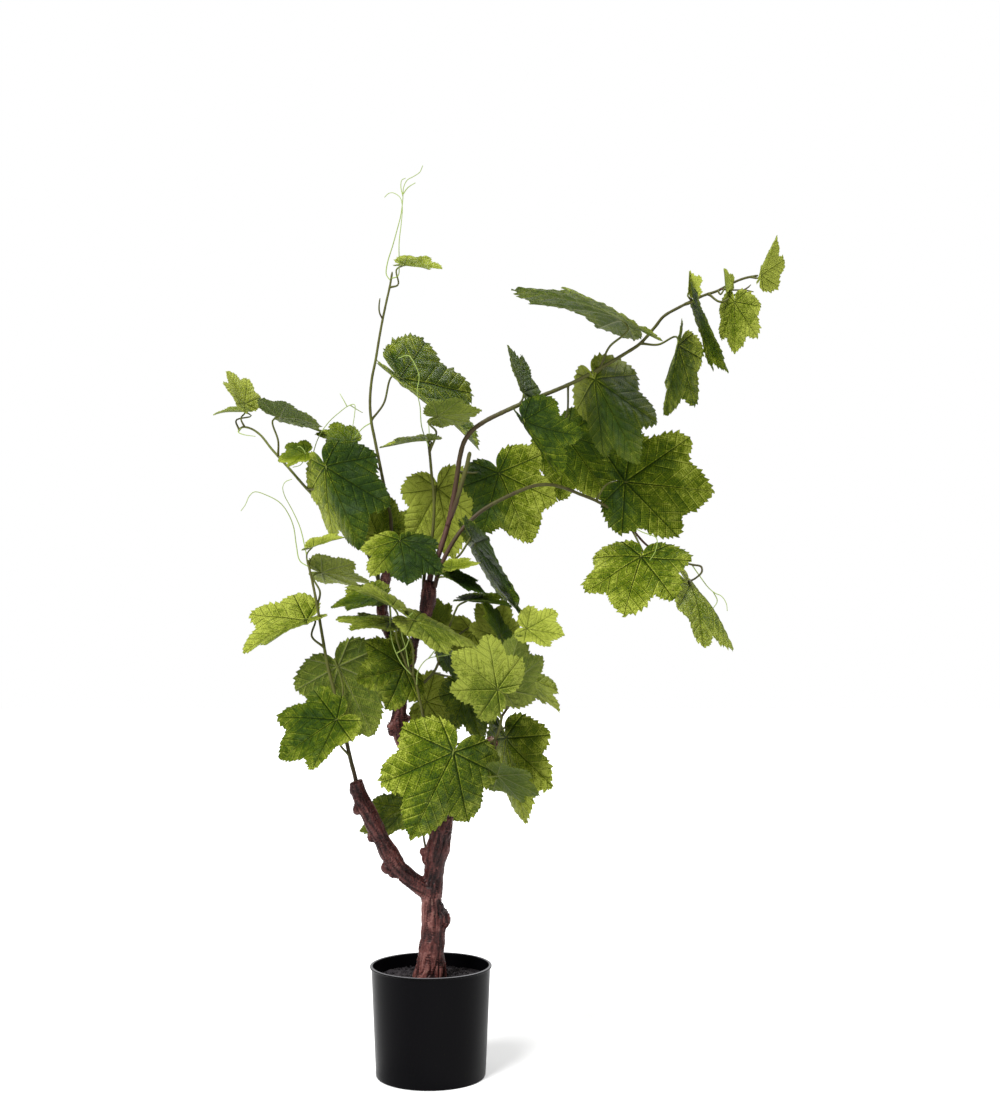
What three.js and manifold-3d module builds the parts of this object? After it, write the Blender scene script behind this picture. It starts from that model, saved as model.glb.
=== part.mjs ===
// Potted grapevine: a black pot with filler and soil, a knotty trunk with cut arms, and leafy shoots.
// Millimetres, +Z up. The origin is the centre of the pot's underside. The plant's front faces -Y.

import * as THREE from 'three';
import { mergeVertices } from 'three/addons/utils/BufferGeometryUtils.js';
import Module from 'manifold-3d';

const wasm = await Module();
wasm.setup();

// Driving dimensions of the pot, its filling and the clearances

const potHeight = 121;
const rimRadius = 67;
const lipHeight = 2.2;
const lipOverhang = 1.7;
const lipRound = 0.5;
const baseRadius = 60.3;
const baseRound = 1.2;
const wallThickness = 1.6;
const floorThickness = 3;
const potSides = 40;
const fillerTop = 94;
const fillerSides = 20;
const soilTop = 106;
const soilRelief = 1.6;
const soilSectors = 20;
const soilRings = [0, 0.46, 0.72, 1];
const clearance = 0.3;
const wallInset = wallThickness + clearance + 0.3;
const holeEase = 1.8;
const holeDepth = 1;

// Driving dimensions of the plant

const bladeThickness = 0.8;
const largeLeaf = 80;
const mediumLeaf = 45;
const petioleRadius = 1.1;
const petioleTipRadius = 0.35;
const petioleTaper = 0.17;
const petioleStep = 13;
const tendrilRadius = 0.65;
const rootSwelling = 1.15;
const tendrilStep = 14;
const caneStep = 22;
const caneSides = 6;
const sideCaneSides = 4;
const thinStemSides = 3;
const socketShare = 1.16;
const socketEase = 0.5;
const rootTilt = 0.2;

// Places are read in the front view, as [x, z, depth behind the pot's axis], where a thing at a depth
// is spread from the eye's place, so that it keeps its place in that view.

const eyeX = 76;
const eyeZ = 473;
const eyeDistance = 1600;

// Leaf outline: angle from the tip in degrees, and distance from the petiole as a share of the size

const leafLobes = [
  [0, 1.00],
  [10, 0.90],
  [20, 0.80],
  [28, 0.79],
  [40, 0.87],
  [50, 0.80],
  [62, 0.65],
  [72, 0.59],
  [82, 0.60],
  [92, 0.62],
  [104, 0.55],
  [117, 0.47],
  [130, 0.40],
  [143, 0.33],
  [156, 0.26],
  [168, 0.17],
  [175, 0.10],
  [180, 0.05],
];
const toothDepth = 0.045;
const waveHeight = 0.045;
const ridgeSoftness = 0.1;
const hubShare = 0.16;

// The trunk's limbs: points [x, z, depth, radius] along each

const trunkLimbs = {
  "stem": [
    [0, 60, 0, 11], [0, 90, 0, 12], [-0.5, 100, 0, 17], [-1, 108, 0, 18.4], [0, 120, 0, 16],
    [0.5, 135, 0, 14.3], [2, 150, 0, 13], [2.5, 163, 0, 12.2], [1.5, 178, 0, 10.6], [1, 192, 0, 10.2],
    [1.5, 206, 0, 11.6],
    [3.5, 220, 0, 10.4], [5, 234, 0, 11.4], [7, 246, 0, 12.6], [9.5, 258, 0, 11.6], [11.5, 270, 0, 12.2],
    [13, 284, 0, 10.8], [12, 300, 1, 10.4], [3, 322, 4, 9.6], [-14, 345, 6, 9], [-29, 366, 8, 8.6],
    [-35, 384, 9, 9.2], [-35, 402, 10, 7.6], [-32, 424, 11, 7.2], [-28, 445, 12, 6.8],
  ],
  "left_arm": [
    [2, 198, 0, 8], [-12, 208, -2, 9.6], [-24, 217, -4, 9.4], [-38, 231, -8, 9], [-46, 243, -10, 9.6],
    [-54, 257, -12, 8.6], [-62, 274, -14, 9.2], [-69, 288, -15, 8.6], [-76, 302, -17, 8.4],
    [-83, 322, -18, 6.8],
  ],
  "back_arm": [
    [-29, 438, 11, 6.4], [-36, 462, 18, 6], [-46, 486, 26, 5.6], [-53, 510, 34, 6.2], [-52, 534, 40, 5.6],
    [-48, 554, 44, 5.2],
  ],
  "inner_arm": [
    [-30, 436, 11, 5.8], [-21, 458, 8, 4.6], [-17, 480, 0, 4.6], [-9, 498, -8, 6.4], [-4, 516, -12, 7.8],
    [-2, 530, -14, 7.4], [0, 543, -14, 6.4],
  ],
  "front_arm": [
    [10, 286, 0, 8.6], [22, 306, -12, 8], [40, 334, -27, 7], [58, 357, -39, 6.4], [68, 367, -50, 5.8],
  ],
  "dead_twig": [[17, 272, -3, 2.6], [23, 284, -5, 2.2], [29, 295, -6, 1.3]],
};

// Knots on the trunk: [x, z, depth, half width, half height, half depth]

const trunkKnots = [
  [13.5, 172, -2, 7.6, 11.5, 8],
  [-7.5, 245, -3, 4.6, 4.4, 4.6],
  [-47.5, 228, -9, 7.4, 7, 6.4],
  [-81.5, 292, -16, 4.8, 6.6, 5.4],
  [-85, 314, -18, 4.8, 7.2, 5],
  [-43, 381, 6, 5.2, 8.4, 5.4],
];

// Every leafy shoot is one body. "canes" and "tendrils" hold points [x, z, depth]; a cane's radius runs
// from its root to its tip. The first cane stands in the trunk by its root. A leaf's row is its label,
// its size, its place, its attitude [aim, lean, roll], its form [fold, droop], and the place on a cane
// where its petiole starts, with points on the way. aim is the bearing of the tip, 0 up and 90 right;
// lean brings the tip forward; roll turns the upper face, 0 towards the front; fold lifts both halves;
// droop bends the tip back.

const shoots = [
  {
    "name": "left_shoot",
    "canes": [
      {"radius": [2.4, 1.3], "path": [
        [-80, 312, -18], [-84, 330, -18], [-88, 345, -18], [-94, 372, -20], [-99, 395, -20], [-106, 420, -18],
        [-114, 452, -14], [-119, 480, -10], [-125, 515, -6], [-131, 545, -2], [-136, 566, 0],
      ]},
    ],
    "tendrils": [
      [[-134, 558, -1], [-144, 565, 0], [-148, 582, 0], [-151, 602, -4], [-157, 617, -10], [-166, 629, -16],
        [-180, 637, -22], [-194, 641, -27], [-200, 636, -30], [-204, 627, -32], [-209, 620, -33]],
      [[-134, 560, -1], [-139, 582, 16], [-144, 602, 20], [-152, 620, 18], [-161, 637, 12], [-163, 646, 8],
        [-160, 652, 4], [-153, 655, 0]],
    ],
    "leaves": [
      ["L10", 78, [-104, 391, -37], [238, 12, 40], [14, 12], [-90, 350], [[-101, 366, -27]]],
      ["L9", 86, [-102, 449, -5], [153, 0, 172], [14, 8], [-99, 396], [[-97, 428, -12]]],
      ["L8", 78, [-138, 502, 6], [248, 8, 62], [18, 10], [-118, 471], [[-131, 482, -4]]],
      ["L7", 38, [-130, 581, 4], [72, 4, -74], [14, 8], [-131, 546], []],
      ["L11", 56, [-120, 553, 22], [97, 0, -114], [8, 12], [-125, 515], [[-122, 531, 8]]],
    ],
  },
  {
    "name": "left_upper_shoot",
    "canes": [
      {"radius": [2.4, 1.2], "path": [
        [-53, 520, 37], [-59, 548, 47], [-75, 583, 52], [-94, 604, 54], [-115, 624, 58], [-135, 643, 64],
        [-157, 668, 72], [-175, 688, 80], [-188, 704, 86], [-199, 711, 89], [-208, 712, 90], [-212, 707, 88],
      ]},
    ],
    "tendrils": [
      [[-208, 712, 90], [-212, 707, 86], [-206, 704, 82], [-193, 702, 80]],
      [[-157, 668, 72], [-153, 682, 62], [-145, 691, 54], [-138, 683, 50], [-143, 671, 50], [-152, 668, 52]],
      [[-135, 643, 64], [-132, 672, 66], [-124, 700, 62], [-113, 717, 58], [-100, 729, 54], [-90, 736, 50],
        [-84, 737, 46], [-84, 726, 42], [-86, 713, 40]],
      [[-92, 735, 51], [-96, 742, 52], [-100, 749, 54]],
      [[-89, 736, 50], [-82, 732, 52], [-75, 728, 54]],
    ],
    "leaves": [
      ["L1a", 40, [-204, 738, 84], [332, 4, 58], [16, 8], [-206, 713], [[-209, 722, 86]]],
      ["L1b", 36, [-205, 730, 98], [271, 0, 76], [8, 10], [-211, 708], [[-214, 720, 98]]],
      ["L2", 60, [-166, 724, 66], [99, 34, -104], [8, 12], [-167, 680], [[-168, 697, 74]]],
      ["L4", 102, [-116, 668, 14], [157, 10, 18], [-46, 6], [-136, 643], [[-126, 646, 46]]],
      ["L4s", 31, [-138, 684, 50], [258, 0, 40], [10, 8], [-163, 675], [[-152, 685, 62]]],
      ["L6", 50, [-56, 590, 64], [12, 0, 24], [14, 10], [-57, 540], [[-58, 566, 54]]],
    ],
  },
  {
    "name": "upright_shoot",
    "canes": [
      {"radius": [2.2, 1.2], "path": [
        [-49, 545, 44], [-45, 575, 44], [-44, 610, 46], [-50, 640, 46], [-57, 675, 44], [-62, 700, 42],
        [-65.5, 718, 40], [-67, 740, 38], [-65, 765, 38], [-61, 785, 39], [-56, 815, 40], [-53, 831, 41],
        [-49, 850, 42], [-45, 868, 44], [-42.5, 883, 45],
      ]},
      {"radius": [1.1, 0.8], "path": [[-53, 831, 41], [-56.5, 838, 38], [-57, 846, 37], [-56, 854, 37]]},
    ],
    "tendrils": [
      [[-44, 874, 44], [-49, 880, 46], [-48, 892, 47], [-42, 912, 46], [-37, 930, 44], [-33, 946, 42],
        [-31, 962, 40], [-30, 976, 39], [-26, 984, 38], [-19, 988, 36], [-12, 993, 34], [-9, 1000, 32]],
      [[-43, 875, 44], [-36, 879, 38], [-35, 892, 34], [-35, 915, 34], [-32.5, 938, 37], [-31.5, 955, 40],
        [-34, 965, 43], [-42, 970, 47], [-47, 969, 50], [-51, 965, 52]],
      [[-31, 966, 40], [-33, 976, 42], [-32, 984, 43], [-28, 986, 42]],
      [[-30, 968, 39], [-25, 976, 37], [-17, 981, 35]],
      [[-65, 716, 40], [-74, 712, 46], [-85, 700, 52]],
    ],
    "leaves": [
      ["L3", 40, [-88, 697, 78], [285, 8, 54], [10, 8], [-57, 663], [[-74, 677, 62]]],
      ["C3", 121, [-32, 767, 58], [127, -15, -63], [21, 6], [-65, 719], [[-52, 738, 48]]],
      ["C6", 42, [-29, 891, 36], [93, 0, -62], [14, 8], [-45, 867], [[-36, 869, 40]]],
    ],
  },
  {
    "name": "mid_shoot",
    "canes": [
      {"radius": [2, 1.5], "path": [
        [-6, 512, -9], [-8, 540, 8], [-4, 568, 14], [1, 590, 14], [3, 610, 14], [3, 640, 14], [1, 658, 13],
        [-1, 680, 10], [-3, 698, 8],
      ]},
    ],
    "tendrils": [
      [[-3, 690, 9], [-10, 712, -16], [-12, 735, -42], [-15, 752, -56], [-13, 768, -62], [-18, 782, -64],
        [-25, 791, -62], [-36, 788, -58]],
      [[-3, 694, 8], [-2, 708, 10], [-3, 720, 14]],
    ],
    "leaves": [
      ["C5", 54, [-3, 698, 7], [266, 0, 84], [10, 6], [-2, 688], []],
      ["C4", 48, [7, 724, -32], [82, 6, -112], [8, 8], [-1, 684], [[6, 706, -10]]],
      ["C1", 78, [8, 645, 48], [168, 8, 4], [32, 4], [3, 606], [[4, 628, 26]]],
      ["L5", 70, [-34, 588, -18], [165, 46, -14], [-14, 14], [0, 586], [[-16, 594, 4]]],
    ],
  },
  {
    "name": "right_shoot",
    "canes": [
      {"radius": [3.4, 1.2], "path": [
        [-3, 534, -12], [0, 550, -12], [5, 563, -11], [11, 580, -10], [19, 606, -8], [25, 635, -8],
        [29, 660, -10], [32, 680, -12], [37, 697, -14], [46, 709, -17], [60, 719, -20], [80, 729, -24],
        [100, 738, -28], [120, 746, -32], [140, 754, -36], [160, 763, -40], [175, 771, -44], [200, 785, -52],
        [215, 794, -57], [230, 804, -62], [247, 823, -69], [256, 834, -73], [275, 845, -80], [287, 851, -85],
        [300, 857, -90], [315, 862, -96], [330, 870, -102], [345, 876, -108], [360, 879, -114],
      ]},
      {"radius": [2.8, 2.3], "path": [
        [18, 604, -9], [27, 627, -16], [34, 651, -18], [39, 668, -18], [43, 685, -19],
      ]},
      {"radius": [0.9, 0.7], "path": [[318, 864, -98], [330, 863, -104], [345, 863, -110], [355, 861, -114]]},
      {"radius": [0.8, 0.7], "path": [[344, 863, -110], [349, 866, -111], [352, 869, -112]]},
    ],
    "tendrils": [],
    "leaves": [
      ["C2", 84, [75, 662, 20], [156, 6, -10], [20, 6], [30, 664], [[50, 662, 10]]],
      ["R1", 132, [212, 830, -72], [296, 16, 86], [-6, 26], [187, 778], [[196, 800, -58]]],
      ["R2", 76, [102, 719, -56], [149, 4, 50], [-48, 12], [107, 741], []],
      ["R2b", 56, [103, 751, -20], [339, 5, 70], [14, 2], [98, 737], []],
      ["R3", 107, [181, 764, -48], [155, 12, 15], [-54, 9], [190, 779], []],
      ["R4", 82, [148, 703, 38], [145, -4, 14], [18, 8], [150, 759], [[150, 728, 6]]],
      ["R8", 80, [274, 802, -62], [191, 0, -64], [19, 3], [230, 804], [[250, 803, -64]]],
      ["R9", 80, [293, 842, -98], [161, 12, 94], [2, 4], [281, 848], []],
      ["R9b", 25, [284, 861, -84], [5, -2, 31], [54, 14], [288, 851], []],
      ["R10", 56, [334, 850, -122], [181, 2, 24], [-48, 2], [304, 858], [[320, 850, -112]]],
      ["R10b", 21, [324, 866, -116], [357, 4, 70], [48, 6], [316, 863], []],
      ["R11", 47, [364, 879, -116], [23, 2, 60], [24, 6], [352, 877], []],
    ],
  },
  {
    "name": "arch_shoot",
    "canes": [
      {"radius": [2.6, 1.5], "path": [
        [4, 536, -19], [8, 551, -21], [13, 564, -22], [21, 580, -22], [32, 597, -22], [45, 611, -20],
        [60, 623, -18], [80, 634, -15], [100, 643, -12], [115, 648, -9], [130, 649, -6], [145, 646, -2],
        [165, 638, 4], [180, 632, 9], [194, 624, 14], [208, 612, 16], [223, 598, 14],
      ]},
      {"radius": [1.4, 1.1], "path": [
        [223, 598, 14], [238, 582, 18], [262, 568, 16], [287, 561, 6], [297, 559, 0], [298, 553, -6],
        [291, 546, -14], [283, 542, -22],
      ]},
    ],
    "tendrils": [
      [[288, 561, 6], [296, 548, 6], [305, 536, 2], [312, 530, -2], [320, 526, -6], [325, 518, -8],
        [326, 510, -9]],
      [[311, 531, -1], [315, 521, 0], [309, 511, 0]],
      [[214, 607, 16], [232, 597, 4], [248, 590, -12], [247, 576, -24], [241, 566, -34]],
    ],
    "leaves": [
      ["R5", 96, [214, 652, 14], [96, 3, 2], [8, 9], [183, 631], [[192, 648, 8]]],
      ["R6", 88, [231, 571, -18], [201, 38, 26], [-4, 6], [222, 599], [[231, 580, 0]]],
      ["R7", 88, [286, 540, -24], [138, -8, -66], [-16, 20], [285, 543], []],
      ["B11", 112, [47, 584, -28], [150, -4, 82], [-4, 4], [12, 560], [[30, 570, -26]]],
      ["B13", 32, [22, 559, -48], [82, 4, -68], [8, 6], [9, 553], [[14, 557, -36]]],
      ["B12a", 44, [20, 549, -44], [115, 4, -72], [10, 6], [7, 545], [[12, 548, -32]]],
    ],
  },
  {
    "name": "front_shoot",
    "canes": [
      {"radius": [2, 1.3], "path": [
        [2, 322, 0], [-1, 340, -22], [-4, 366, -38], [-8, 392, -46], [-13, 415, -50], [-18, 435, -53],
        [-27, 449, -55],
      ]},
    ],
    "tendrils": [
      [[-20, 438, -53], [-32, 452, -58], [-42, 474, -62], [-45, 497, -66], [-44, 518, -68]],
      [[-24, 444, -54], [-28, 470, -60], [-32, 486, -66], [-28, 500, -70], [-20, 508, -72]],
      [[-37, 464, -60], [-28, 470, -64], [-22, 484, -68], [-11, 497, -70]],
      [[-16, 428, -52], [-14, 444, -66], [-4, 457, -74], [14, 461, -78]],
      [[-2, 458, -75], [6, 469, -82], [13, 480, -84]],
    ],
    "leaves": [
      ["B14a", 58, [-42, 516, -72], [298, 0, 82], [8, 8], [-25, 446], [[-38, 482, -66]]],
      ["B14b", 76, [-18, 501, -68], [112, 0, -72], [-8, 8], [-20, 438], [[-20, 470, -64]]],
      ["L12", 52, [-58, 527, -8], [261, 4, 62], [7, 8], [-22, 442], [[-42, 484, -24]]],
      ["L12b", 60, [-44, 499, -44], [277, 0, 76], [-6, 8], [-16, 428], [[-28, 462, -44]]],
      ["L13", 68, [-28, 448, -36], [256, 46, 6], [8, 8], [-14, 422], [[-20, 440, -44]]],
    ],
  },
  {
    "name": "lower_right_shoot",
    "canes": [
      {"radius": [1.9, 1.4], "path": [
        [65, 363, -45], [71, 369, -57], [76, 382, -62], [78, 395, -64],
      ]},
      {"radius": [1.4, 1.2], "path": [
        [78, 394, -64], [86, 408, -62], [82, 423, -54], [84, 446, -46], [82, 466, -44], [80, 477, -46],
      ]},
    ],
    "tendrils": [],
    "leaves": [
      ["B1", 108, [25, 354, -86], [206, 0, -8], [-26, 10], [69, 367], [[50, 362, -72]]],
      ["B3a", 94, [82, 370, -14], [171, 0, 52], [-20, 8], [75, 378], []],
      ["B3b", 54, [73, 330, -60], [110, 4, -124], [-5, 8], [70, 368], [[70, 350, -58]]],
      ["B7a", 66, [80, 424, -80], [16, 4, 178], [30, 6], [84, 404], []],
      ["B7b", 68, [74, 424, -104], [310, 14, 20], [10, 8], [78, 393], [[74, 406, -88]]],
      ["B8", 58, [101, 440, -20], [132, 4, -68], [9, 6], [84, 446], []],
      ["B9", 44, [105, 491, -72], [99, 4, -36], [20, 6], [83, 462], [[94, 478, -60]]],
      ["B10", 44, [76, 481, -8], [328, 0, 18], [8, 6], [82, 464], []],
      ["B10b", 42, [78, 483, -50], [333, 4, 70], [8, 6], [81, 472], []],
    ],
  },
  {
    "name": "inner_shoot",
    "canes": [
      {"radius": [1.8, 1.3], "path": [
        [-33, 408, 10], [-22, 420, 22], [-8, 431, 24], [4, 444, 18], [11, 463, 6], [14, 481, -2],
      ]},
    ],
    "tendrils": [],
    "leaves": [
      ["B5a", 58, [-5, 410, 48], [104, 0, 4], [8, 8], [-18, 423], [[-12, 418, 36]]],
      ["B5b", 50, [40, 430, 64], [148, 0, 0], [8, 8], [2, 442], [[20, 438, 48]]],
      ["B4a", 50, [12, 478, -12], [158, 4, 70], [8, 6], [13, 474], []],
      ["B4b", 62, [38, 424, 2], [166, 0, 44], [8, 8], [7, 453], [[20, 448, 8]]],
      ["B6", 58, [46, 486, 28], [192, 4, 8], [10, 8], [12, 468], [[28, 482, 16]]],
      ["B15", 26, [9, 499, 16], [352, 0, 10], [8, 6], [13, 474], []],
      ["B12b", 50, [40, 522, -32], [93, 4, -80], [8, 6], [14, 480], [[20, 492, -14], [27, 510, -26]]],
    ],
  },
  {
    "name": "low_sprig",
    "canes": [
      {"radius": [1.3, 1.1], "path": [
        [-5, 245, 2], [-8, 262, 8], [-9, 280, 12], [-12, 294, 13],
      ]},
    ],
    "tendrils": [],
    "leaves": [
      ["B2", 58, [-27, 293, 32], [249, 0, 56], [4, 8], [-11, 289], []],
      ["B16", 38, [6, 303, 28], [122, 0, 8], [8, 8], [-9, 280], [[-2, 293, 24]]],
    ],
  },
];

// Materials

function surface(colour, roughness) {
  return new THREE.MeshStandardMaterial({ color: colour, roughness, metalness: 0 });
}

const potPlastic = surface(0x141416, 0.42);
const fillerStone = surface(0x8f8b84, 0.95);
const soilDark = surface(0x1b1613, 0.95);
const bark = surface(0x4a3230, 0.85);
const foliage = surface(0x6d8a2c, 0.6);

// Solids and meshes

function solidOf(geometry) {
  const bare = geometry.clone();
  bare.deleteAttribute('normal');
  bare.deleteAttribute('uv');
  const merged = mergeVertices(bare, 1e-4);
  return new wasm.Manifold(new wasm.Mesh({
    numProp: 3,
    vertProperties: new Float32Array(merged.attributes.position.array),
    triVerts: new Uint32Array(merged.index.array),
  }));
}

function meshOf(solid, material, name) {
  const raw = solid.getMesh();
  const geometry = new THREE.BufferGeometry();
  geometry.setAttribute('position', new THREE.BufferAttribute(raw.vertProperties, raw.numProp));
  geometry.setIndex(new THREE.BufferAttribute(raw.triVerts, 1));
  geometry.computeVertexNormals();
  const mesh = new THREE.Mesh(geometry, material);
  mesh.name = name;
  return mesh;
}

function geometryFrom(points, triangles) {
  const geometry = new THREE.BufferGeometry();
  geometry.setAttribute('position', new THREE.Float32BufferAttribute(points.flatMap((p) => p.toArray()), 3));
  geometry.setIndex(triangles.flat());
  return geometry;
}

// A point of the front view at its depth, and the scale of things there

function spread(depth) {
  return 1 + depth / eyeDistance;
}

function place([x, z, depth]) {
  const s = spread(depth);
  return new THREE.Vector3(eyeX + (x - eyeX) * s, depth, eyeZ + (z - eyeZ) * s);
}

function seen(point) {
  const s = spread(point.y);
  return new THREE.Vector3(eyeX + (point.x - eyeX) / s, 0, eyeZ + (point.z - eyeZ) / s);
}

// A closed tube along a smooth curve, with a radius that changes along it

function tube(curve, radiusAt, sides, steps) {
  const frames = curve.computeFrenetFrames(steps, false);
  const points = [];
  const triangles = [];
  for (let i = 0; i <= steps; i += 1) {
    const share = i / steps;
    const centre = curve.getPointAt(share);
    for (let j = 0; j < sides; j += 1) {
      const angle = (j / sides) * 2 * Math.PI;
      const radius = radiusAt(share, j);
      points.push(centre.clone()
        .addScaledVector(frames.normals[i], Math.cos(angle) * radius)
        .addScaledVector(frames.binormals[i], Math.sin(angle) * radius));
    }
  }
  for (let i = 0; i < steps; i += 1) {
    for (let j = 0; j < sides; j += 1) {
      const a = i * sides + j;
      const b = i * sides + ((j + 1) % sides);
      triangles.push([a, b, b + sides], [a, b + sides, a + sides]);
    }
  }
  const first = points.length;
  points.push(curve.getPointAt(0), curve.getPointAt(1));
  const last = steps * sides;
  for (let j = 0; j < sides; j += 1) {
    const next = (j + 1) % sides;
    triangles.push([first, next, j], [first + 1, last + j, last + next]);
  }
  return solidOf(geometryFrom(points, triangles));
}

function curveThrough(points) {
  return new THREE.CatmullRomCurve3(points, false, 'centripetal');
}

// A round stem as the straight steps that stand for its curve: its points, radii and solid

function stemAlong(points, radii, sides, stepLength) {
  const curve = curveThrough(points);
  const steps = Math.max(3, Math.round(curve.getLength() / stepLength));
  const [thick, thin] = radii;
  return {
    line: curve.getSpacedPoints(steps),
    solid: tube(curve, (share) => thick + (thin - thick) * share, sides, steps),
  };
}

// Pot, filler and soil

function lathe(profile, sides) {
  const outline = profile.map(([radius, height]) => new THREE.Vector2(radius, height));
  const geometry = new THREE.LatheGeometry(outline, sides);
  geometry.rotateX(Math.PI / 2);
  return solidOf(geometry);
}

function wallRadius(height) {
  const top = rimRadius - lipOverhang;
  return baseRadius + (top - baseRadius) * (height / (potHeight - lipHeight));
}

function potSolid() {
  const underLip = potHeight - lipHeight;
  const innerTop = wallRadius(underLip) - wallThickness;
  return lathe([
    [0, 0],
    [baseRadius - baseRound, 0],
    [baseRadius, baseRound],
    [wallRadius(underLip), underLip],
    [rimRadius, underLip + lipRound],
    [rimRadius, potHeight - lipRound],
    [rimRadius - lipRound, potHeight],
    [innerTop, potHeight],
    [wallRadius(floorThickness) - wallThickness, floorThickness],
    [0, floorThickness],
  ], potSides);
}

function fillerSolid(hole) {
  const bottom = floorThickness + clearance;
  return lathe([
    [0, bottom],
    [wallRadius(bottom) - wallInset, bottom],
    [wallRadius(fillerTop) - wallInset, fillerTop],
    [0, fillerTop],
  ], fillerSides).subtract(hole);
}

// The soil's top is a fan and rings of low lumps, and its underside is flat

function soilSolid(hole) {
  const bottom = fillerTop + clearance;
  const outerRing = soilRings.length - 1;
  const points = [new THREE.Vector3(0, 0, bottom), new THREE.Vector3(0, 0, soilTop)];
  const addRing = (radius, heightAt) => {
    for (let j = 0; j < soilSectors; j += 1) {
      const angle = (j / soilSectors) * 2 * Math.PI;
      points.push(new THREE.Vector3(Math.cos(angle) * radius, Math.sin(angle) * radius, heightAt(j)));
    }
  };
  for (let ring = 1; ring <= outerRing; ring += 1) {
    const relief = ring < outerRing ? soilRelief : soilRelief / 3;
    const lump = (j) => Math.sin(j * 2.4 + ring * 1.7) * Math.cos(j * 1.1 - ring * 2.3);
    addRing(soilRings[ring] * (wallRadius(soilTop) - wallInset), (j) => soilTop + relief * lump(j));
  }
  addRing(wallRadius(bottom) - wallInset, () => bottom);
  const triangles = [];
  const corner = (ring, j) => 2 + ring * soilSectors + (j % soilSectors);
  for (let j = 0; j < soilSectors; j += 1) {
    triangles.push([1, corner(0, j), corner(0, j + 1)]);
    for (let ring = 0; ring < outerRing; ring += 1) {
      triangles.push([corner(ring, j), corner(ring + 1, j), corner(ring + 1, j + 1)]);
      triangles.push([corner(ring, j), corner(ring + 1, j + 1), corner(ring, j + 1)]);
    }
    triangles.push([0, corner(outerRing, j + 1), corner(outerRing, j)]);
  }
  return solidOf(geometryFrom(points, triangles)).subtract(hole);
}

// Trunk

// A limb's radius follows its points, with shallow bark ridges where it stands clear of the filling

function barkRidge(side, share) {
  return 0.06 * Math.sin(side * 2.6 + share * 41) + 0.04 * Math.sin(side * 4.1 - share * 67);
}

function limb(path, extra, sides, steps) {
  const curve = curveThrough(path.map((point) => place(point)));
  const spans = path.length - 1;
  const lengths = curve.getLengths(spans * 20);
  const knees = path.map((point, index) => lengths[index * 20] / lengths[lengths.length - 1]);
  const smoothUpTo = path[0][1] < fillerTop ? knees[2] : 0;
  const radiusAt = (share, side) => {
    let span = 0;
    while (span < spans - 1 && share > knees[span + 1]) span += 1;
    const local = THREE.MathUtils.clamp((share - knees[span]) / (knees[span + 1] - knees[span]), 0, 1);
    const radius = THREE.MathUtils.lerp(path[span][3], path[span + 1][3], local);
    return radius * (share < smoothUpTo ? 1 : 1 + barkRidge(side, share)) + extra;
  };
  return tube(curve, radiusAt, sides, steps);
}

function trunkSolid() {
  let trunk = limb(trunkLimbs.stem, 0, 10, 24);
  trunk = trunk.add(limb(trunkLimbs.left_arm, 0, 7, 11));
  trunk = trunk.add(limb(trunkLimbs.back_arm, 0, 6, 7));
  trunk = trunk.add(limb(trunkLimbs.inner_arm, 0, 6, 8));
  trunk = trunk.add(limb(trunkLimbs.front_arm, 0, 7, 5));
  trunk = trunk.add(limb(trunkLimbs.dead_twig, 0, 4, 2));
  for (const [x, z, depth, halfWidth, halfHeight, halfDepth] of trunkKnots) {
    const knot = new THREE.IcosahedronGeometry(1, 0);
    knot.scale(halfWidth, halfDepth, halfHeight);
    knot.translate(...place([x, z, depth]).toArray());
    trunk = trunk.add(solidOf(knot));
  }
  return trunk;
}

// The hole that the trunk's foot stands in, through the soil and into the filler

function trunkHole() {
  const foot = trunkLimbs.stem.slice(0, 6);
  const [x, z, ...rest] = foot[0];
  return limb([[x, z - holeDepth, ...rest], ...foot.slice(1)], clearance + holeEase, 10, 10);
}

// The room that a shoot's root takes in the trunk, along the first straight steps of its cane

function sockets({ line, thick }) {
  return line.slice(0, 2).map((point, index) => {
    const way = line[index + 1].clone().sub(point).normalize().multiplyScalar(clearance + thick * rootTilt);
    const room = new THREE.LineCurve3(point.clone().sub(way), line[index + 1].clone().add(way));
    return tube(room, () => thick * socketShare + socketEase, 6, 1);
  });
}

// Leaves: each one's edge waves start at an angle of its own

function wavePhase(shootIndex, leafIndex) {
  return shootIndex * 1.9 + leafIndex * 2.4;
}

function lobeRadius(degrees) {
  let index = 0;
  while (index < leafLobes.length - 2 && degrees > leafLobes[index + 1][0]) index += 1;
  const [from, low] = leafLobes[index];
  const [to, high] = leafLobes[index + 1];
  const local = THREE.MathUtils.clamp((degrees - from) / (to - from), 0, 1);
  return low + (high - low) * local;
}

function attitude([aim, lean, roll]) {
  const bearing = THREE.MathUtils.degToRad(aim);
  const forward = THREE.MathUtils.degToRad(lean);
  const turn = THREE.MathUtils.degToRad(roll);
  const flat = new THREE.Vector3(Math.sin(bearing), 0, Math.cos(bearing));
  const viewer = new THREE.Vector3(0, -1, 0);
  const tip = flat.clone().multiplyScalar(Math.cos(forward)).addScaledVector(viewer, Math.sin(forward));
  const faceOn = flat.clone().multiplyScalar(-Math.sin(forward)).addScaledVector(viewer, Math.cos(forward));
  const sideOn = new THREE.Vector3().crossVectors(tip, faceOn);
  const normal = faceOn.multiplyScalar(Math.cos(turn)).addScaledVector(sideOn, Math.sin(turn));
  const across = new THREE.Vector3().crossVectors(tip, normal);
  return { tip, normal, across };
}

// A point of the blade's middle surface, from its flat place across and along the midrib

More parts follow.
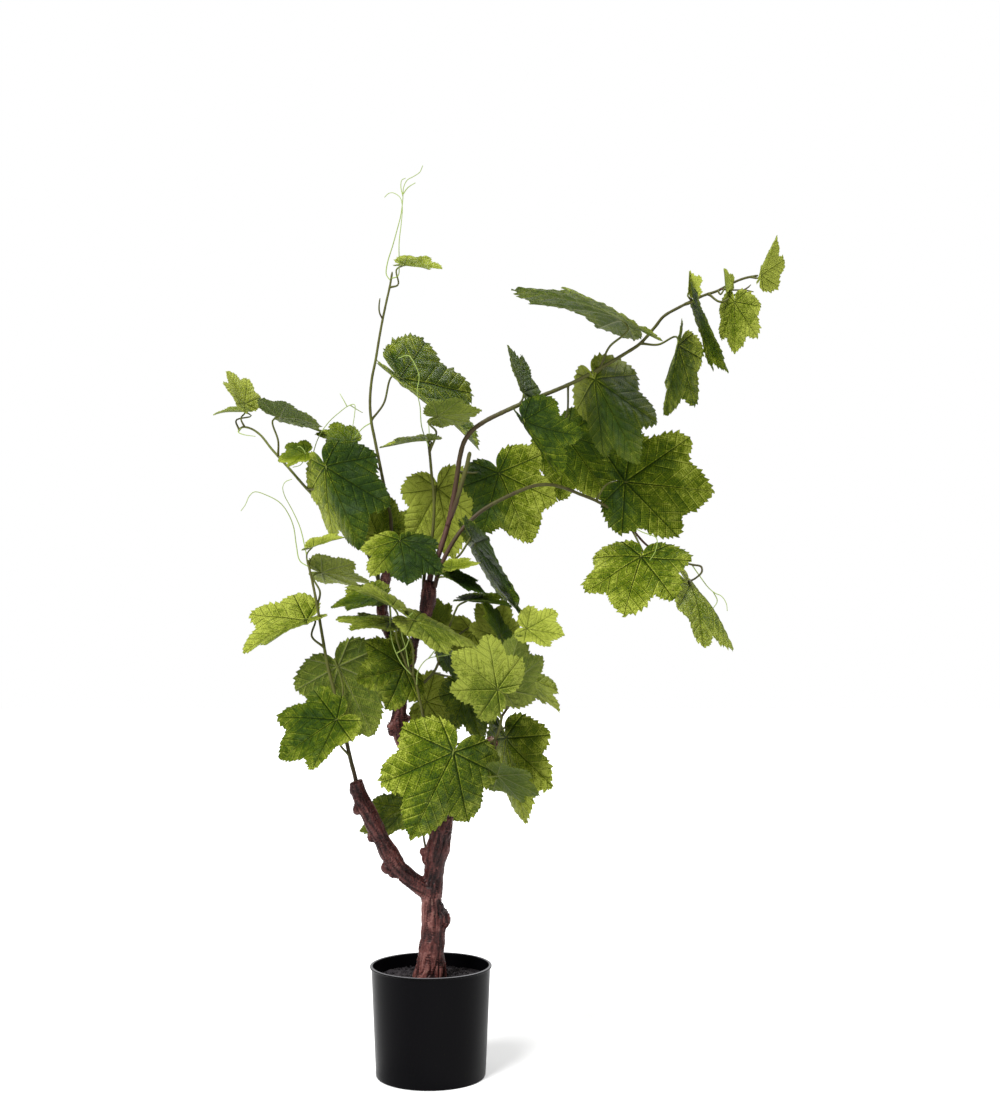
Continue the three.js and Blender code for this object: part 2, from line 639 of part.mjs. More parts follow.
function bladePoint(across, along, form, phase) {
  const [foldDegrees, droopDegrees] = form;
  const fold = THREE.MathUtils.degToRad(foldDegrees);
  const droop = THREE.MathUtils.degToRad(droopDegrees);
  const side = Math.sqrt(across * across + ridgeSoftness * ridgeSoftness) - ridgeSoftness;
  const reach = Math.min(1, across * across + along * along);
  const wave = waveHeight * reach * Math.sin(3 * Math.atan2(across, along) + phase);
  const height = side * Math.sin(fold) + wave;
  const bend = droop * along;
  const run = Math.abs(droop) < 1e-3 ? along : Math.sin(bend) / droop;
  const drop = Math.abs(droop) < 1e-3 ? 0 : (1 - Math.cos(bend)) / droop;
  return new THREE.Vector3(
    across * Math.cos(fold),
    run + height * Math.sin(bend),
    height * Math.cos(bend) - drop,
  );
}

function bladeNormal(across, along, form, phase) {
  const step = 1e-3;
  const at = (u, v) => bladePoint(u, v, form, phase);
  const alongWay = at(across, along + step).sub(at(across, along - step));
  const acrossWay = at(across + step, along).sub(at(across - step, along));
  return new THREE.Vector3().crossVectors(acrossWay, alongWay).normalize();
}

function outlineCounts(size) {
  if (size >= largeLeaf) return { edge: 24, ring: 8 };
  return { edge: size >= mediumLeaf ? 18 : 14, ring: 0 };
}

function leafSolid(size, at, pose, form, phase) {
  const { edge, ring } = outlineCounts(size);
  const scale = size * spread(at[2]);
  const { tip, normal, across } = attitude(pose);
  const centre = place(at);
  const flat = [[0, hubShare]];
  const ringShare = 0.55;
  const around = (count, index) => ((index / count) * 2 - 1) * Math.PI;
  for (let i = 0; i < ring; i += 1) {
    const angle = around(ring, i);
    const radius = ringShare * lobeRadius(Math.abs(THREE.MathUtils.radToDeg(angle)));
    flat.push([Math.sin(angle) * radius, Math.cos(angle) * radius]);
  }
  for (let i = 0; i < edge; i += 1) {
    const angle = around(edge, i);
    const tooth = 1 + toothDepth * (i % 2 === 0 ? 1 : -1);
    const radius = tooth * lobeRadius(Math.abs(THREE.MathUtils.radToDeg(angle)));
    flat.push([Math.sin(angle) * radius, Math.cos(angle) * radius]);
  }
  const count = flat.length;
  const faces = [];
  const perRing = edge / ring;
  if (ring === 0) {
    for (let i = 0; i < edge; i += 1) faces.push([0, 1 + ((i + 1) % edge), 1 + i]);
  }
  for (let i = 0; i < ring; i += 1) {
    const here = 1 + i;
    const next = 1 + ((i + 1) % ring);
    faces.push([0, next, here]);
    const half = Math.floor(perRing / 2);
    for (let k = 0; k < perRing; k += 1) {
      const outer = 1 + ring + i * perRing + k;
      const outerNext = 1 + ring + ((i * perRing + k + 1) % edge);
      faces.push([k < half ? here : next, outerNext, outer]);
      if (k === half - 1) faces.push([here, next, outerNext]);
    }
  }
  const points = [];
  for (const side of [1, -1]) {
    for (const [u, v] of flat) {
      const local = bladePoint(u, v, form, phase);
      const offset = bladeNormal(u, v, form, phase).multiplyScalar((side * bladeThickness) / 2 / scale);
      local.add(offset).multiplyScalar(scale);
      points.push(centre.clone()
        .addScaledVector(across, local.x)
        .addScaledVector(tip, local.y)
        .addScaledVector(normal, local.z));
    }
  }
  const triangles = faces.map((face) => [...face]);
  for (const [a, b, c] of faces) triangles.push([a + count, c + count, b + count]);
  for (let i = 0; i < edge; i += 1) {
    const a = 1 + ring + i;
    const b = 1 + ring + ((i + 1) % edge);
    triangles.push([a, b + count, a + count], [a, b, b + count]);
  }
  const solid = solidOf(geometryFrom(points, triangles));
  return { solid, centre, tip, normal, scale };
}

// The nearest place on straight steps to a point: by its place in the front view, or in space

function nearestOn(lines, target, inView) {
  let best = null;
  for (const line of lines) {
    for (let i = 1; i < line.length; i += 1) {
      for (let k = 0; k <= 12; k += 1) {
        const point = line[i - 1].clone().lerp(line[i], k / 12);
        const compared = inView ? target.clone().setY(0) : target;
        const gap = (inView ? seen(point) : point).distanceTo(compared);
        if (best === null || gap < best.gap) best = { gap, point };
      }
    }
  }
  return best.point;
}

// A petiole ends in the underside of its blade, which it meets from behind the leaf's base

function petioleSolid(start, via, leaf) {
  const reach = start.distanceTo(leaf.centre);
  const behind = leaf.centre.clone()
    .addScaledVector(leaf.tip, -Math.min(9, reach * 0.3))
    .addScaledVector(leaf.normal, -Math.min(6, reach * 0.22));
  const end = leaf.centre.clone().addScaledVector(leaf.tip, petioleTipRadius);
  const curve = curveThrough([start, ...via.map((point) => place(point)), behind, end]);
  const root = petioleRadius * rootSwelling * (leaf.scale < mediumLeaf ? 0.8 : 1);
  const steps = THREE.MathUtils.clamp(Math.round(curve.getLength() / petioleStep), 3, 5);
  const radiusAt = (share) => (share < 1 ? root * (1 - petioleTaper * share) : petioleTipRadius);
  return tube(curve, radiusAt, thinStemSides, steps);
}

function shootOf(shoot, index) {
  const canes = shoot.canes.map((cane, order) => {
    const points = cane.path.map((point) => place(point));
    return stemAlong(points, cane.radius, order === 0 ? caneSides : sideCaneSides, caneStep);
  });
  const pieces = canes.map((cane) => cane.solid);
  const lines = canes.map((cane) => cane.line);
  for (const path of shoot.tendrils) {
    const points = path.map((point) => place(point));
    points[0] = nearestOn(lines, points[0], false);
    const radii = [tendrilRadius * rootSwelling, tendrilRadius];
    const tendril = stemAlong(points, radii, thinStemSides, tendrilStep);
    pieces.push(tendril.solid);
    lines.push(tendril.line);
  }
  shoot.leaves.forEach(([, size, at, pose, form, [x, z], via], order) => {
    const leaf = leafSolid(size, at, pose, form, wavePhase(index, order));
    const start = nearestOn(lines.slice(0, canes.length), new THREE.Vector3(x, 0, z), true);
    pieces.push(leaf.solid, petioleSolid(start, via, leaf));
  });
  return {
    name: shoot.name,
    solid: pieces.reduce((whole, piece) => whole.add(piece)),
    root: { line: canes[0].line, thick: shoot.canes[0].radius[0] },
  };
}

// The whole plant

const plant = new THREE.Group();
const hole = trunkHole();

plant.add(meshOf(potSolid(), potPlastic, 'pot'));
plant.add(meshOf(fillerSolid(hole), fillerStone, 'pot_filler'));
plant.add(meshOf(soilSolid(hole), soilDark, 'soil'));

const shootBodies = shoots.map((shoot, index) => shootOf(shoot, index));
const rooms = shootBodies.flatMap(({ root }) => sockets(root));
const socketed = rooms.reduce((rest, room) => rest.subtract(room), trunkSolid());
plant.add(meshOf(socketed, bark, 'trunk'));
for (const { name, solid } of shootBodies) plant.add(meshOf(solid, foliage, name));

export default plant;
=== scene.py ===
# Potted grapevine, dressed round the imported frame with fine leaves, stems, bark, soil and a moulded pot.
# The rows and named sizes are in millimetres, as in the solids' source, and every mesh is in metres.

import math
from functools import partialmethod

import bpy
import numpy as np
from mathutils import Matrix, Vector, noise
from mathutils.geometry import delaunay_2d_cdt


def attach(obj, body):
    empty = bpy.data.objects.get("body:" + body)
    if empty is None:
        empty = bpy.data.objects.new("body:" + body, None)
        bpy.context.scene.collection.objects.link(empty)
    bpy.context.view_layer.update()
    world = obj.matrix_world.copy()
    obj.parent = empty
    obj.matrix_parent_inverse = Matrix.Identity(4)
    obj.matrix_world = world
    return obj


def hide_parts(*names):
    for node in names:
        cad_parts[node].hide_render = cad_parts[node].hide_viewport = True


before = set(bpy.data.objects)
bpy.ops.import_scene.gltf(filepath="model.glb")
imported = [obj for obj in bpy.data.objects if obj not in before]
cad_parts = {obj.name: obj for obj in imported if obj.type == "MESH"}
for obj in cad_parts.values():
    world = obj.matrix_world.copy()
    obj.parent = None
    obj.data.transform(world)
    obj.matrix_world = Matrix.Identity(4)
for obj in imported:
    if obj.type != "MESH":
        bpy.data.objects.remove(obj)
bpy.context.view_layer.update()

MM = 0.001
SEED = 7

# Pot, soil and trunk

POT_HEIGHT = 121.0
RIM_RADIUS = 67.0
LIP_HEIGHT = 2.2
LIP_OVERHANG = 1.7
BASE_RADIUS = 60.3
WALL = 1.6
POT_FLOOR = 3.0
POT_SIDES = 160
SOIL_TOP = 106.0
SOIL_BOTTOM = 94.3
SOIL_GAP = 0.6
SOIL_SECTORS = 132
SOIL_RINGS = 34
CRUMBS = 1500
FOOT_RISE = 0.8
FOOT_EDGE = (9.0, 8.0)
BASE_ROUND = 1.8
LIP_ROUND = 0.8
LIP_CURVE = 0.7
CRUMB_BED = 2.0
TRUNK_SIDES = 28
TRUNK_STEP = 2.5
TRUNK_VOXEL = 1.15
LIMB_LENGTH = 170
BARK_TWIST = 0.017
CREASE_DEPTH = 2.0
FLAKE_DEPTH = 0.6
LUMP_HEIGHT = 1.5
GRAIN_HEIGHT = 0.35
BARK_SINK = 1.9

# Leaves and stems

SMALL_LEAF = 30.0
MEDIUM_LEAF = 45.0
BLADE_THICKNESS = 0.36
NET_SHARE = 0.019
NET_FINEST = 1.15
NET_COARSEST = 1.75
EDGE_SAMPLES = 900
EDGE_SWAYS = ((2, 0.03), (5, 0.02))
TOOTH_DEPTH = 0.024
TOOTH_LEAST = 0.7
TOOTH_PITCH = 2.7
TOOTH_SPREAD = 0.036
TOOTH_PROFILE = ((0.0, -0.35), (0.35, 0.08), (0.65, 0.48), (0.86, 0.8))
WAVE_HEIGHT = 0.045
RIPPLE_HEIGHT = 0.02
RUMPLE_HEIGHT = 0.016
NOTCHES = (-66, -25, 25, 66)
NOTCH_DEPTH = 0.09
NOTCH_WIDTH = 0.085
QUILT_HEIGHT = 0.012
GROOVE_DEPTH = 0.012
GROOVE_WIDTH = 0.028
RIDGE_SOFTNESS = 0.1
RIB_ANGLES = tuple(math.radians(a) for a in (0, 41, 88, 130))
RIB_PITCH = 0.135
RIB_SLANT = 0.95
RUNG_PITCH = 0.034
PETIOLE_RADIUS = 1.1
PETIOLE_TAPER = 0.17
PETIOLE_SIDES = 8
ROOT_SWELLING = 1.15
TENDRIL_RADIUS = 0.62
TENDRIL_SIDES = 6
MAIN_CANE_SIDES = 10
SIDE_CANE_SIDES = 8
STEM_STEP = 2.6
CANE_LUMPS = 0.05
CANE_END = 0.6
USUAL_AGES = (0.55, 0.25)
WEAK_PATCH = 0.35
LIGHT_SPREAD = 0.04

# Places are read in the front view, as [x, z, depth behind the pot's axis], and spread from the eye

EYE_X = 76.0
EYE_Z = 473.0
EYE_DISTANCE = 1600.0
PIXEL = 1.1
PHOTO_HEIGHT = 1100
SENSOR = 36.0
VIEW_SHIFT = 0.086
FLOOR_REACH = 9000.0
SUN_WIDTH = 28
KEY_LIGHT = 5.1
BACK_LIGHT = 2.4
WORLD_LIGHT = 0.46

# Leaf outline: angle from the tip in degrees, and distance from the petiole as a share of the size

LEAF_LOBES = [
    (0, 1), (10, 0.9), (20, 0.8), (28, 0.79), (40, 0.87), (50, 0.8), (62, 0.65), (72, 0.59), (82, 0.6),
    (92, 0.62), (104, 0.55), (117, 0.47), (130, 0.4), (143, 0.33), (156, 0.26), (168, 0.17), (175, 0.1),
    (180, 0.05),
]

# The trunk's limbs: points [x, z, depth, radius] along each

TRUNK_LIMBS = {
    "stem": [[0, 60, 0, 11], [0, 90, 0, 12], [-0.5, 100, 0, 17], [-1, 108, 0, 18.4], [0, 120, 0, 16],
        [0.5, 135, 0, 14.3], [2, 150, 0, 13], [2.5, 163, 0, 12.2], [1.5, 178, 0, 10.6], [1, 192, 0, 10.2],
        [1.5, 206, 0, 11.6], [3.5, 220, 0, 10.4], [5, 234, 0, 11.4], [7, 246, 0, 12.6], [9.5, 258, 0, 11.6],
        [11.5, 270, 0, 12.2], [13, 284, 0, 10.8], [12, 300, 1, 10.4], [3, 322, 4, 9.6], [-14, 345, 6, 9],
        [-29, 366, 8, 8.6], [-35, 384, 9, 9.2], [-35, 402, 10, 7.6], [-32, 424, 11, 7.2], [-28, 445, 12, 6.8]],
    "left_arm": [[2, 198, 0, 8], [-12, 208, -2, 9.6], [-24, 217, -4, 9.4], [-38, 231, -8, 9],
        [-46, 243, -10, 9.6], [-54, 257, -12, 8.6], [-62, 274, -14, 9.2], [-69, 288, -15, 8.6],
        [-76, 302, -17, 8.4], [-83, 322, -18, 6.8]],
    "back_arm": [[-29, 438, 11, 6.4], [-36, 462, 18, 6], [-46, 486, 26, 5.6], [-53, 510, 34, 6.2],
        [-52, 534, 40, 5.6], [-48, 554, 44, 5.2]],
    "inner_arm": [[-30, 436, 11, 5.8], [-21, 458, 8, 4.6], [-17, 480, 0, 4.6], [-9, 498, -8, 6.4],
        [-4, 516, -12, 7.8], [-2, 530, -14, 7.4], [0, 543, -14, 6.4]],
    "front_arm": [[10, 286, 0, 8.6], [22, 306, -12, 8], [40, 334, -27, 7], [58, 357, -39, 6.4],
        [68, 367, -50, 5.8]],
    "dead_twig": [[17, 272, -3, 2.6], [23, 284, -5, 2.2], [29, 295, -6, 1.3]],
}

# Knots: [x, z, depth, half width, half height, half depth]. Those after the sixth are low forms on the bark.

KNOTS = [
    [13.5, 172, -2, 7.6, 11.5, 8], [-7.5, 245, -3, 4.6, 4.4, 4.6], [-47.5, 228, -9, 7.4, 7, 6.4],
    [-81.5, 292, -16, 4.8, 6.6, 5.4], [-85, 314, -18, 4.8, 7.2, 5], [-43, 381, 6, 5.2, 8.4, 5.4],
    [-24, 224, -4, 4.6, 4, 5], [-28, 392, 10, 5, 4, 5], [-31, 366, 2, 5.4, 4.6, 5.4],
    [10.5, 184, -3, 5, 6, 5], [11, 160, -2, 5, 7, 5], [-42.5, 237, -9, 6, 6, 6], [-41, 221, -8, 5.4, 5, 5.4],
    [-79.5, 301, -16, 5, 6, 5], [-5.5, 237, -3, 4.4, 6.4, 4.4], [7, 262, -2, 4.6, 8, 5],
    [-66, 262, -12, 4.4, 7, 5],
]

# The leafy shoots, with the rows of the solids' source. A cane has its radii at the root and the tip, and
# then its points. A leaf has its label, its size, its place, its aim, lean, roll, fold and droop, the spot on
# a cane where its stalk starts, and then any places that the stalk passes.

SHOOTS = {}


def shoot(name, canes, leaves, tendrils=()):
    SHOOTS[name] = (canes, list(tendrils), leaves)


shoot("left_shoot", canes=[
    [[2.4, 1.3],  [-80, 312, -18], [-84, 330, -18], [-88, 345, -18], [-94, 372, -20], [-99, 395, -20],
        [-106, 420, -18], [-114, 452, -14], [-119, 480, -10], [-125, 515, -6], [-131, 545, -2],
        [-136, 566, 0]],
], tendrils=[
    [[-134, 558, -1], [-144, 565, 0], [-148, 582, 0], [-151, 602, -4], [-157, 617, -10], [-166, 629, -16],
        [-180, 637, -22], [-194, 641, -27], [-200, 636, -30], [-204, 627, -32], [-209, 620, -33]],
    [[-134, 560, -1], [-139, 582, 16], [-144, 602, 20], [-152, 620, 18], [-161, 637, 12], [-163, 646, 8],
        [-160, 652, 4], [-153, 655, 0]],
], leaves=[
    ["L10", 78, [-104, 391, -37], [238, 12, 40, 14, 12], [-90, 350], [-101, 366, -27]],
    ["L9", 86, [-102, 449, -5], [153, 0, 172, 14, 8], [-99, 396], [-97, 428, -12]],
    ["L8", 78, [-138, 502, 6], [248, 8, 62, 18, 10], [-118, 471], [-131, 482, -4]],
    ["L7", 38, [-130, 581, 4], [72, 4, -74, 14, 8], [-131, 546]],
    ["L11", 56, [-120, 553, 22], [97, 0, -114, 8, 12], [-125, 515], [-122, 531, 8]],
])
shoot("left_upper_shoot", canes=[
    [[2.4, 1.2],  [-53, 520, 37], [-59, 548, 47], [-75, 583, 52], [-94, 604, 54], [-115, 624, 58],
        [-135, 643, 64], [-157, 668, 72], [-175, 688, 80], [-188, 704, 86], [-199, 711, 89], [-208, 712, 90],
        [-212, 707, 88]],
], tendrils=[
    [[-208, 712, 90], [-212, 707, 86], [-206, 704, 82], [-193, 702, 80]],
    [[-157, 668, 72], [-153, 682, 62], [-145, 691, 54], [-138, 683, 50], [-143, 671, 50], [-152, 668, 52]],
    [[-135, 643, 64], [-132, 672, 66], [-124, 700, 62], [-113, 717, 58], [-100, 729, 54], [-90, 736, 50],
        [-84, 737, 46], [-84, 726, 42], [-86, 713, 40]],
    [[-92, 735, 51], [-96, 742, 52], [-100, 749, 54]],
    [[-89, 736, 50], [-82, 732, 52], [-75, 728, 54]],
], leaves=[
    ["L1a", 40, [-204, 738, 84], [332, 4, 58, 16, 8], [-206, 713], [-209, 722, 86]],
    ["L1b", 36, [-205, 730, 98], [271, 0, 76, 8, 10], [-211, 708], [-214, 720, 98]],
    ["L2", 60, [-166, 724, 66], [99, 34, -104, 8, 12], [-167, 680], [-168, 697, 74]],
    ["L4", 102, [-116, 668, 14], [157, 10, 18, -46, 6], [-136, 643], [-126, 646, 46]],
    ["L4s", 31, [-138, 684, 50], [258, 0, 40, 10, 8], [-163, 675], [-152, 685, 62]],
    ["L6", 50, [-56, 590, 64], [12, 0, 24, 14, 10], [-57, 540], [-58, 566, 54]],
])
shoot("upright_shoot", canes=[
    [[2.2, 1.2],  [-49, 545, 44], [-45, 575, 44], [-44, 610, 46], [-50, 640, 46], [-57, 675, 44],
        [-62, 700, 42], [-65.5, 718, 40], [-67, 740, 38], [-65, 765, 38], [-61, 785, 39], [-56, 815, 40],
        [-53, 831, 41], [-49, 850, 42], [-45, 868, 44], [-42.5, 883, 45]],
    [[1.1, 0.8],  [-53, 831, 41], [-56.5, 838, 38], [-57, 846, 37], [-56, 854, 37]],
], tendrils=[
    [[-44, 874, 44], [-49, 880, 46], [-48, 892, 47], [-42, 912, 46], [-37, 930, 44], [-33, 946, 42],
        [-31, 962, 40], [-30, 976, 39], [-26, 984, 38], [-19, 988, 36], [-12, 993, 34], [-9, 1000, 32]],
    [[-43, 875, 44], [-36, 879, 38], [-35, 892, 34], [-35, 915, 34], [-32.5, 938, 37], [-31.5, 955, 40],
        [-34, 965, 43], [-42, 970, 47], [-47, 969, 50], [-51, 965, 52]],
    [[-31, 966, 40], [-33, 976, 42], [-32, 984, 43], [-28, 986, 42]],
    [[-30, 968, 39], [-25, 976, 37], [-17, 981, 35]],
    [[-65, 716, 40], [-74, 712, 46], [-85, 700, 52]],
], leaves=[
    ["L3", 40, [-88, 697, 78], [285, 8, 54, 10, 8], [-57, 663], [-74, 677, 62]],
    ["C3", 121, [-32, 767, 58], [127, -15, -63, 21, 6], [-65, 719], [-52, 738, 48]],
    ["C6", 42, [-29, 891, 36], [93, 0, -62, 14, 8], [-45, 867], [-36, 869, 40]],
])
shoot("mid_shoot", canes=[
    [[2, 1.5],  [-6, 512, -9], [-8, 540, 8], [-4, 568, 14], [1, 590, 14], [3, 610, 14], [3, 640, 14],
        [1, 658, 13], [-1, 680, 10], [-3, 698, 8]],
], tendrils=[
    [[-3, 690, 9], [-10, 712, -16], [-12, 735, -42], [-15, 752, -56], [-13, 768, -62], [-18, 782, -64],
        [-25, 791, -62], [-36, 788, -58]],
    [[-3, 694, 8], [-2, 708, 10], [-3, 720, 14]],
], leaves=[
    ["C5", 54, [-3, 698, 7], [266, 0, 84, 10, 6], [-2, 688]],
    ["C4", 48, [7, 724, -32], [82, 6, -112, 8, 8], [-1, 684], [6, 706, -10]],
    ["C1", 78, [8, 645, 48], [168, 8, 4, 32, 4], [3, 606], [4, 628, 26]],
    ["L5", 70, [-34, 588, -18], [165, 46, -14, -14, 14], [0, 586], [-16, 594, 4]],
])
shoot("right_shoot", canes=[
    [[3.4, 1.2],  [-3, 534, -12], [0, 550, -12], [5, 563, -11], [11, 580, -10], [19, 606, -8], [25, 635, -8],
        [29, 660, -10], [32, 680, -12], [37, 697, -14], [46, 709, -17], [60, 719, -20], [80, 729, -24],
        [100, 738, -28], [120, 746, -32], [140, 754, -36], [160, 763, -40], [175, 771, -44], [200, 785, -52],
        [215, 794, -57], [230, 804, -62], [247, 823, -69], [256, 834, -73], [275, 845, -80], [287, 851, -85],
        [300, 857, -90], [315, 862, -96], [330, 870, -102], [345, 876, -108], [360, 879, -114]],
    [[2.8, 2.3],  [18, 604, -9], [27, 627, -16], [34, 651, -18], [39, 668, -18], [43, 685, -19]],
    [[0.9, 0.7],  [318, 864, -98], [330, 863, -104], [345, 863, -110], [355, 861, -114]],
    [[0.8, 0.7],  [344, 863, -110], [349, 866, -111], [352, 869, -112]],
], leaves=[
    ["C2", 84, [75, 662, 20], [156, 6, -10, 20, 6], [30, 664], [50, 662, 10]],
    ["R1", 132, [212, 830, -72], [296, 16, 86, -6, 26], [187, 778], [196, 800, -58]],
    ["R2", 76, [102, 719, -56], [149, 4, 50, -48, 12], [107, 741]],
    ["R2b", 56, [103, 751, -20], [339, 5, 70, 14, 2], [98, 737]],
    ["R3", 107, [181, 764, -48], [155, 12, 15, -54, 9], [190, 779]],
    ["R4", 82, [148, 703, 38], [145, -4, 14, 18, 8], [150, 759], [150, 728, 6]],
    ["R8", 80, [274, 802, -62], [191, 0, -64, 19, 3], [230, 804], [250, 803, -64]],
    ["R9", 80, [293, 842, -98], [161, 12, 94, 2, 4], [281, 848]],
    ["R9b", 25, [284, 861, -84], [5, -2, 31, 54, 14], [288, 851]],
    ["R10", 56, [334, 850, -122], [181, 2, 24, -48, 2], [304, 858], [320, 850, -112]],
    ["R10b", 21, [324, 866, -116], [357, 4, 70, 48, 6], [316, 863]],
    ["R11", 47, [364, 879, -116], [23, 2, 60, 24, 6], [352, 877]],
])
shoot("arch_shoot", canes=[
    [[2.6, 1.5],  [4, 536, -19], [8, 551, -21], [13, 564, -22], [21, 580, -22], [32, 597, -22], [45, 611, -20],
        [60, 623, -18], [80, 634, -15], [100, 643, -12], [115, 648, -9], [130, 649, -6], [145, 646, -2],
        [165, 638, 4], [180, 632, 9], [194, 624, 14], [208, 612, 16], [223, 598, 14]],
    [[1.4, 1.1],  [223, 598, 14], [238, 582, 18], [262, 568, 16], [287, 561, 6], [297, 559, 0], [298, 553, -6],
        [291, 546, -14], [283, 542, -22]],
], tendrils=[
    [[288, 561, 6], [296, 548, 6], [305, 536, 2], [312, 530, -2], [320, 526, -6], [325, 518, -8],
        [326, 510, -9]],
    [[311, 531, -1], [315, 521, 0], [309, 511, 0]],
    [[214, 607, 16], [232, 597, 4], [248, 590, -12], [247, 576, -24], [241, 566, -34]],
], leaves=[
    ["R5", 96, [214, 652, 14], [96, 3, 2, 8, 9], [183, 631], [192, 648, 8]],
    ["R6", 88, [231, 571, -18], [201, 38, 26, -4, 6], [222, 599], [231, 580, 0]],
    ["R7", 88, [286, 540, -24], [138, -8, -66, -16, 20], [285, 543]],
    ["B11", 112, [47, 584, -28], [150, -4, 82, -4, 4], [12, 560], [30, 570, -26]],
    ["B13", 32, [22, 559, -48], [82, 4, -68, 8, 6], [9, 553], [14, 557, -36]],
    ["B12a", 44, [20, 549, -44], [115, 4, -72, 10, 6], [7, 545], [12, 548, -32]],
])
shoot("front_shoot", canes=[
    [[2, 1.3],  [2, 322, 0], [-1, 340, -22], [-4, 366, -38], [-8, 392, -46], [-13, 415, -50], [-18, 435, -53],
        [-27, 449, -55]],
], tendrils=[
    [[-20, 438, -53], [-32, 452, -58], [-42, 474, -62], [-45, 497, -66], [-44, 518, -68]],
    [[-24, 444, -54], [-28, 470, -60], [-32, 486, -66], [-28, 500, -70], [-20, 508, -72]],
    [[-37, 464, -60], [-28, 470, -64], [-22, 484, -68], [-11, 497, -70]],
    [[-16, 428, -52], [-14, 444, -66], [-4, 457, -74], [14, 461, -78]],
    [[-2, 458, -75], [6, 469, -82], [13, 480, -84]],
], leaves=[
    ["B14a", 58, [-42, 516, -72], [298, 0, 82, 8, 8], [-25, 446], [-38, 482, -66]],
    ["B14b", 76, [-18, 501, -68], [112, 0, -72, -8, 8], [-20, 438], [-20, 470, -64]],
    ["L12", 52, [-58, 527, -8], [261, 4, 62, 7, 8], [-22, 442], [-42, 484, -24]],
    ["L12b", 60, [-44, 499, -44], [277, 0, 76, -6, 8], [-16, 428], [-28, 462, -44]],
    ["L13", 68, [-28, 448, -36], [256, 46, 6, 8, 8], [-14, 422], [-20, 440, -44]],
])
shoot("lower_right_shoot", canes=[
    [[1.9, 1.4],  [65, 363, -45], [71, 369, -57], [76, 382, -62], [78, 395, -64]],
    [[1.4, 1.2],  [78, 394, -64], [86, 408, -62], [82, 423, -54], [84, 446, -46], [82, 466, -44],
        [80, 477, -46]],
], leaves=[
    ["B1", 108, [25, 354, -86], [206, 0, -8, -26, 10], [69, 367], [50, 362, -72]],
    ["B3a", 94, [82, 370, -14], [171, 0, 52, -20, 8], [75, 378]],
    ["B3b", 54, [73, 330, -60], [110, 4, -124, -5, 8], [70, 368], [70, 350, -58]],
    ["B7a", 66, [80, 424, -80], [16, 4, 178, 30, 6], [84, 404]],
    ["B7b", 68, [74, 424, -104], [310, 14, 20, 10, 8], [78, 393], [74, 406, -88]],
    ["B8", 58, [101, 440, -20], [132, 4, -68, 9, 6], [84, 446]],
    ["B9", 44, [105, 491, -72], [99, 4, -36, 20, 6], [83, 462], [94, 478, -60]],
    ["B10", 44, [76, 481, -8], [328, 0, 18, 8, 6], [82, 464]],
    ["B10b", 42, [78, 483, -50], [333, 4, 70, 8, 6], [81, 472]],
])
shoot("inner_shoot", canes=[
    [[1.8, 1.3],  [-33, 408, 10], [-22, 420, 22], [-8, 431, 24], [4, 444, 18], [11, 463, 6], [14, 481, -2]],
], leaves=[
    ["B5a", 58, [-5, 410, 48], [104, 0, 4, 8, 8], [-18, 423], [-12, 418, 36]],
    ["B5b", 50, [40, 430, 64], [148, 0, 0, 8, 8], [2, 442], [20, 438, 48]],
    ["B4a", 50, [12, 478, -12], [158, 4, 70, 8, 6], [13, 474]],
    ["B4b", 62, [38, 424, 2], [166, 0, 44, 8, 8], [7, 453], [20, 448, 8]],
    ["B6", 58, [46, 486, 28], [192, 4, 8, 10, 8], [12, 468], [28, 482, 16]],
    ["B15", 26, [9, 499, 16], [352, 0, 10, 8, 6], [13, 474]],
    ["B12b", 50, [40, 522, -32], [93, 4, -80, 8, 6], [14, 480], [20, 492, -14], [27, 510, -26]],
])
shoot("low_sprig", canes=[
    [[1.3, 1.1],  [-5, 245, 2], [-8, 262, 8], [-9, 280, 12], [-12, 294, 13]],
], leaves=[
    ["B2", 58, [-27, 293, 32], [249, 0, 56, 4, 8], [-11, 289]],
    ["B16", 38, [6, 303, 28], [122, 0, 8, 8, 8], [-9, 280], [-2, 293, 24]],
])

# How old each shoot's canes look from root to tip, where they aren't of the usual kind

CANE_AGES = {"right_shoot": (1.0, 0.3), "arch_shoot": (0.8, 0.35), "left_upper_shoot": (0.4, 0.15)}

# Tendrils too fine for the solids

EXTRA_TENDRILS = {
    "front_shoot": [
        [[14, 461, -78], [26, 463, -80], [38, 462, -82], [50, 461, -82]],
        [[38, 462, -82], [42, 455, -83], [46, 446, -84]],
    ],
}

# How light and how pale each leaf is painted. A leaf in no list is of the middle kind.

LOOKS = {
    "lime": (1.02, 0.02), "fresh": (0.86, 0.03), "middle": (0.75, 0.0), "calm": (0.64, 0.0), "dim": (0.54, 0.0),
    "deep": (0.42, 0.05), "pale": (0.91, 0.3),
}
KINDS = {
    "lime": "C1 B9 B10 R10b R11 L1a R9b L7 L11 B5a B6 R3",
    "fresh": "R10 R7 L12b L8 C6 B5b B13 C5 L6",
    "calm": "R8 L9 L3 C3 R6 B1 L13 L12",
    "dim": "R4 L2 B3b B10b R5 L10",
    "deep": "R2 B4a B4b B11 R9 R2b B12a B12b",
    "pale": "B14a B14b B7a B7b C4 L1b B15",
}
KIND_OF = {label: kind for kind, labels in KINDS.items() for label in labels.split()}

# Where a leaf's dark airbrushed patch lies: its bearing from the tip, towards the leaf's own right, and its
# strength. The other leaves have a weak patch on a side of their own.

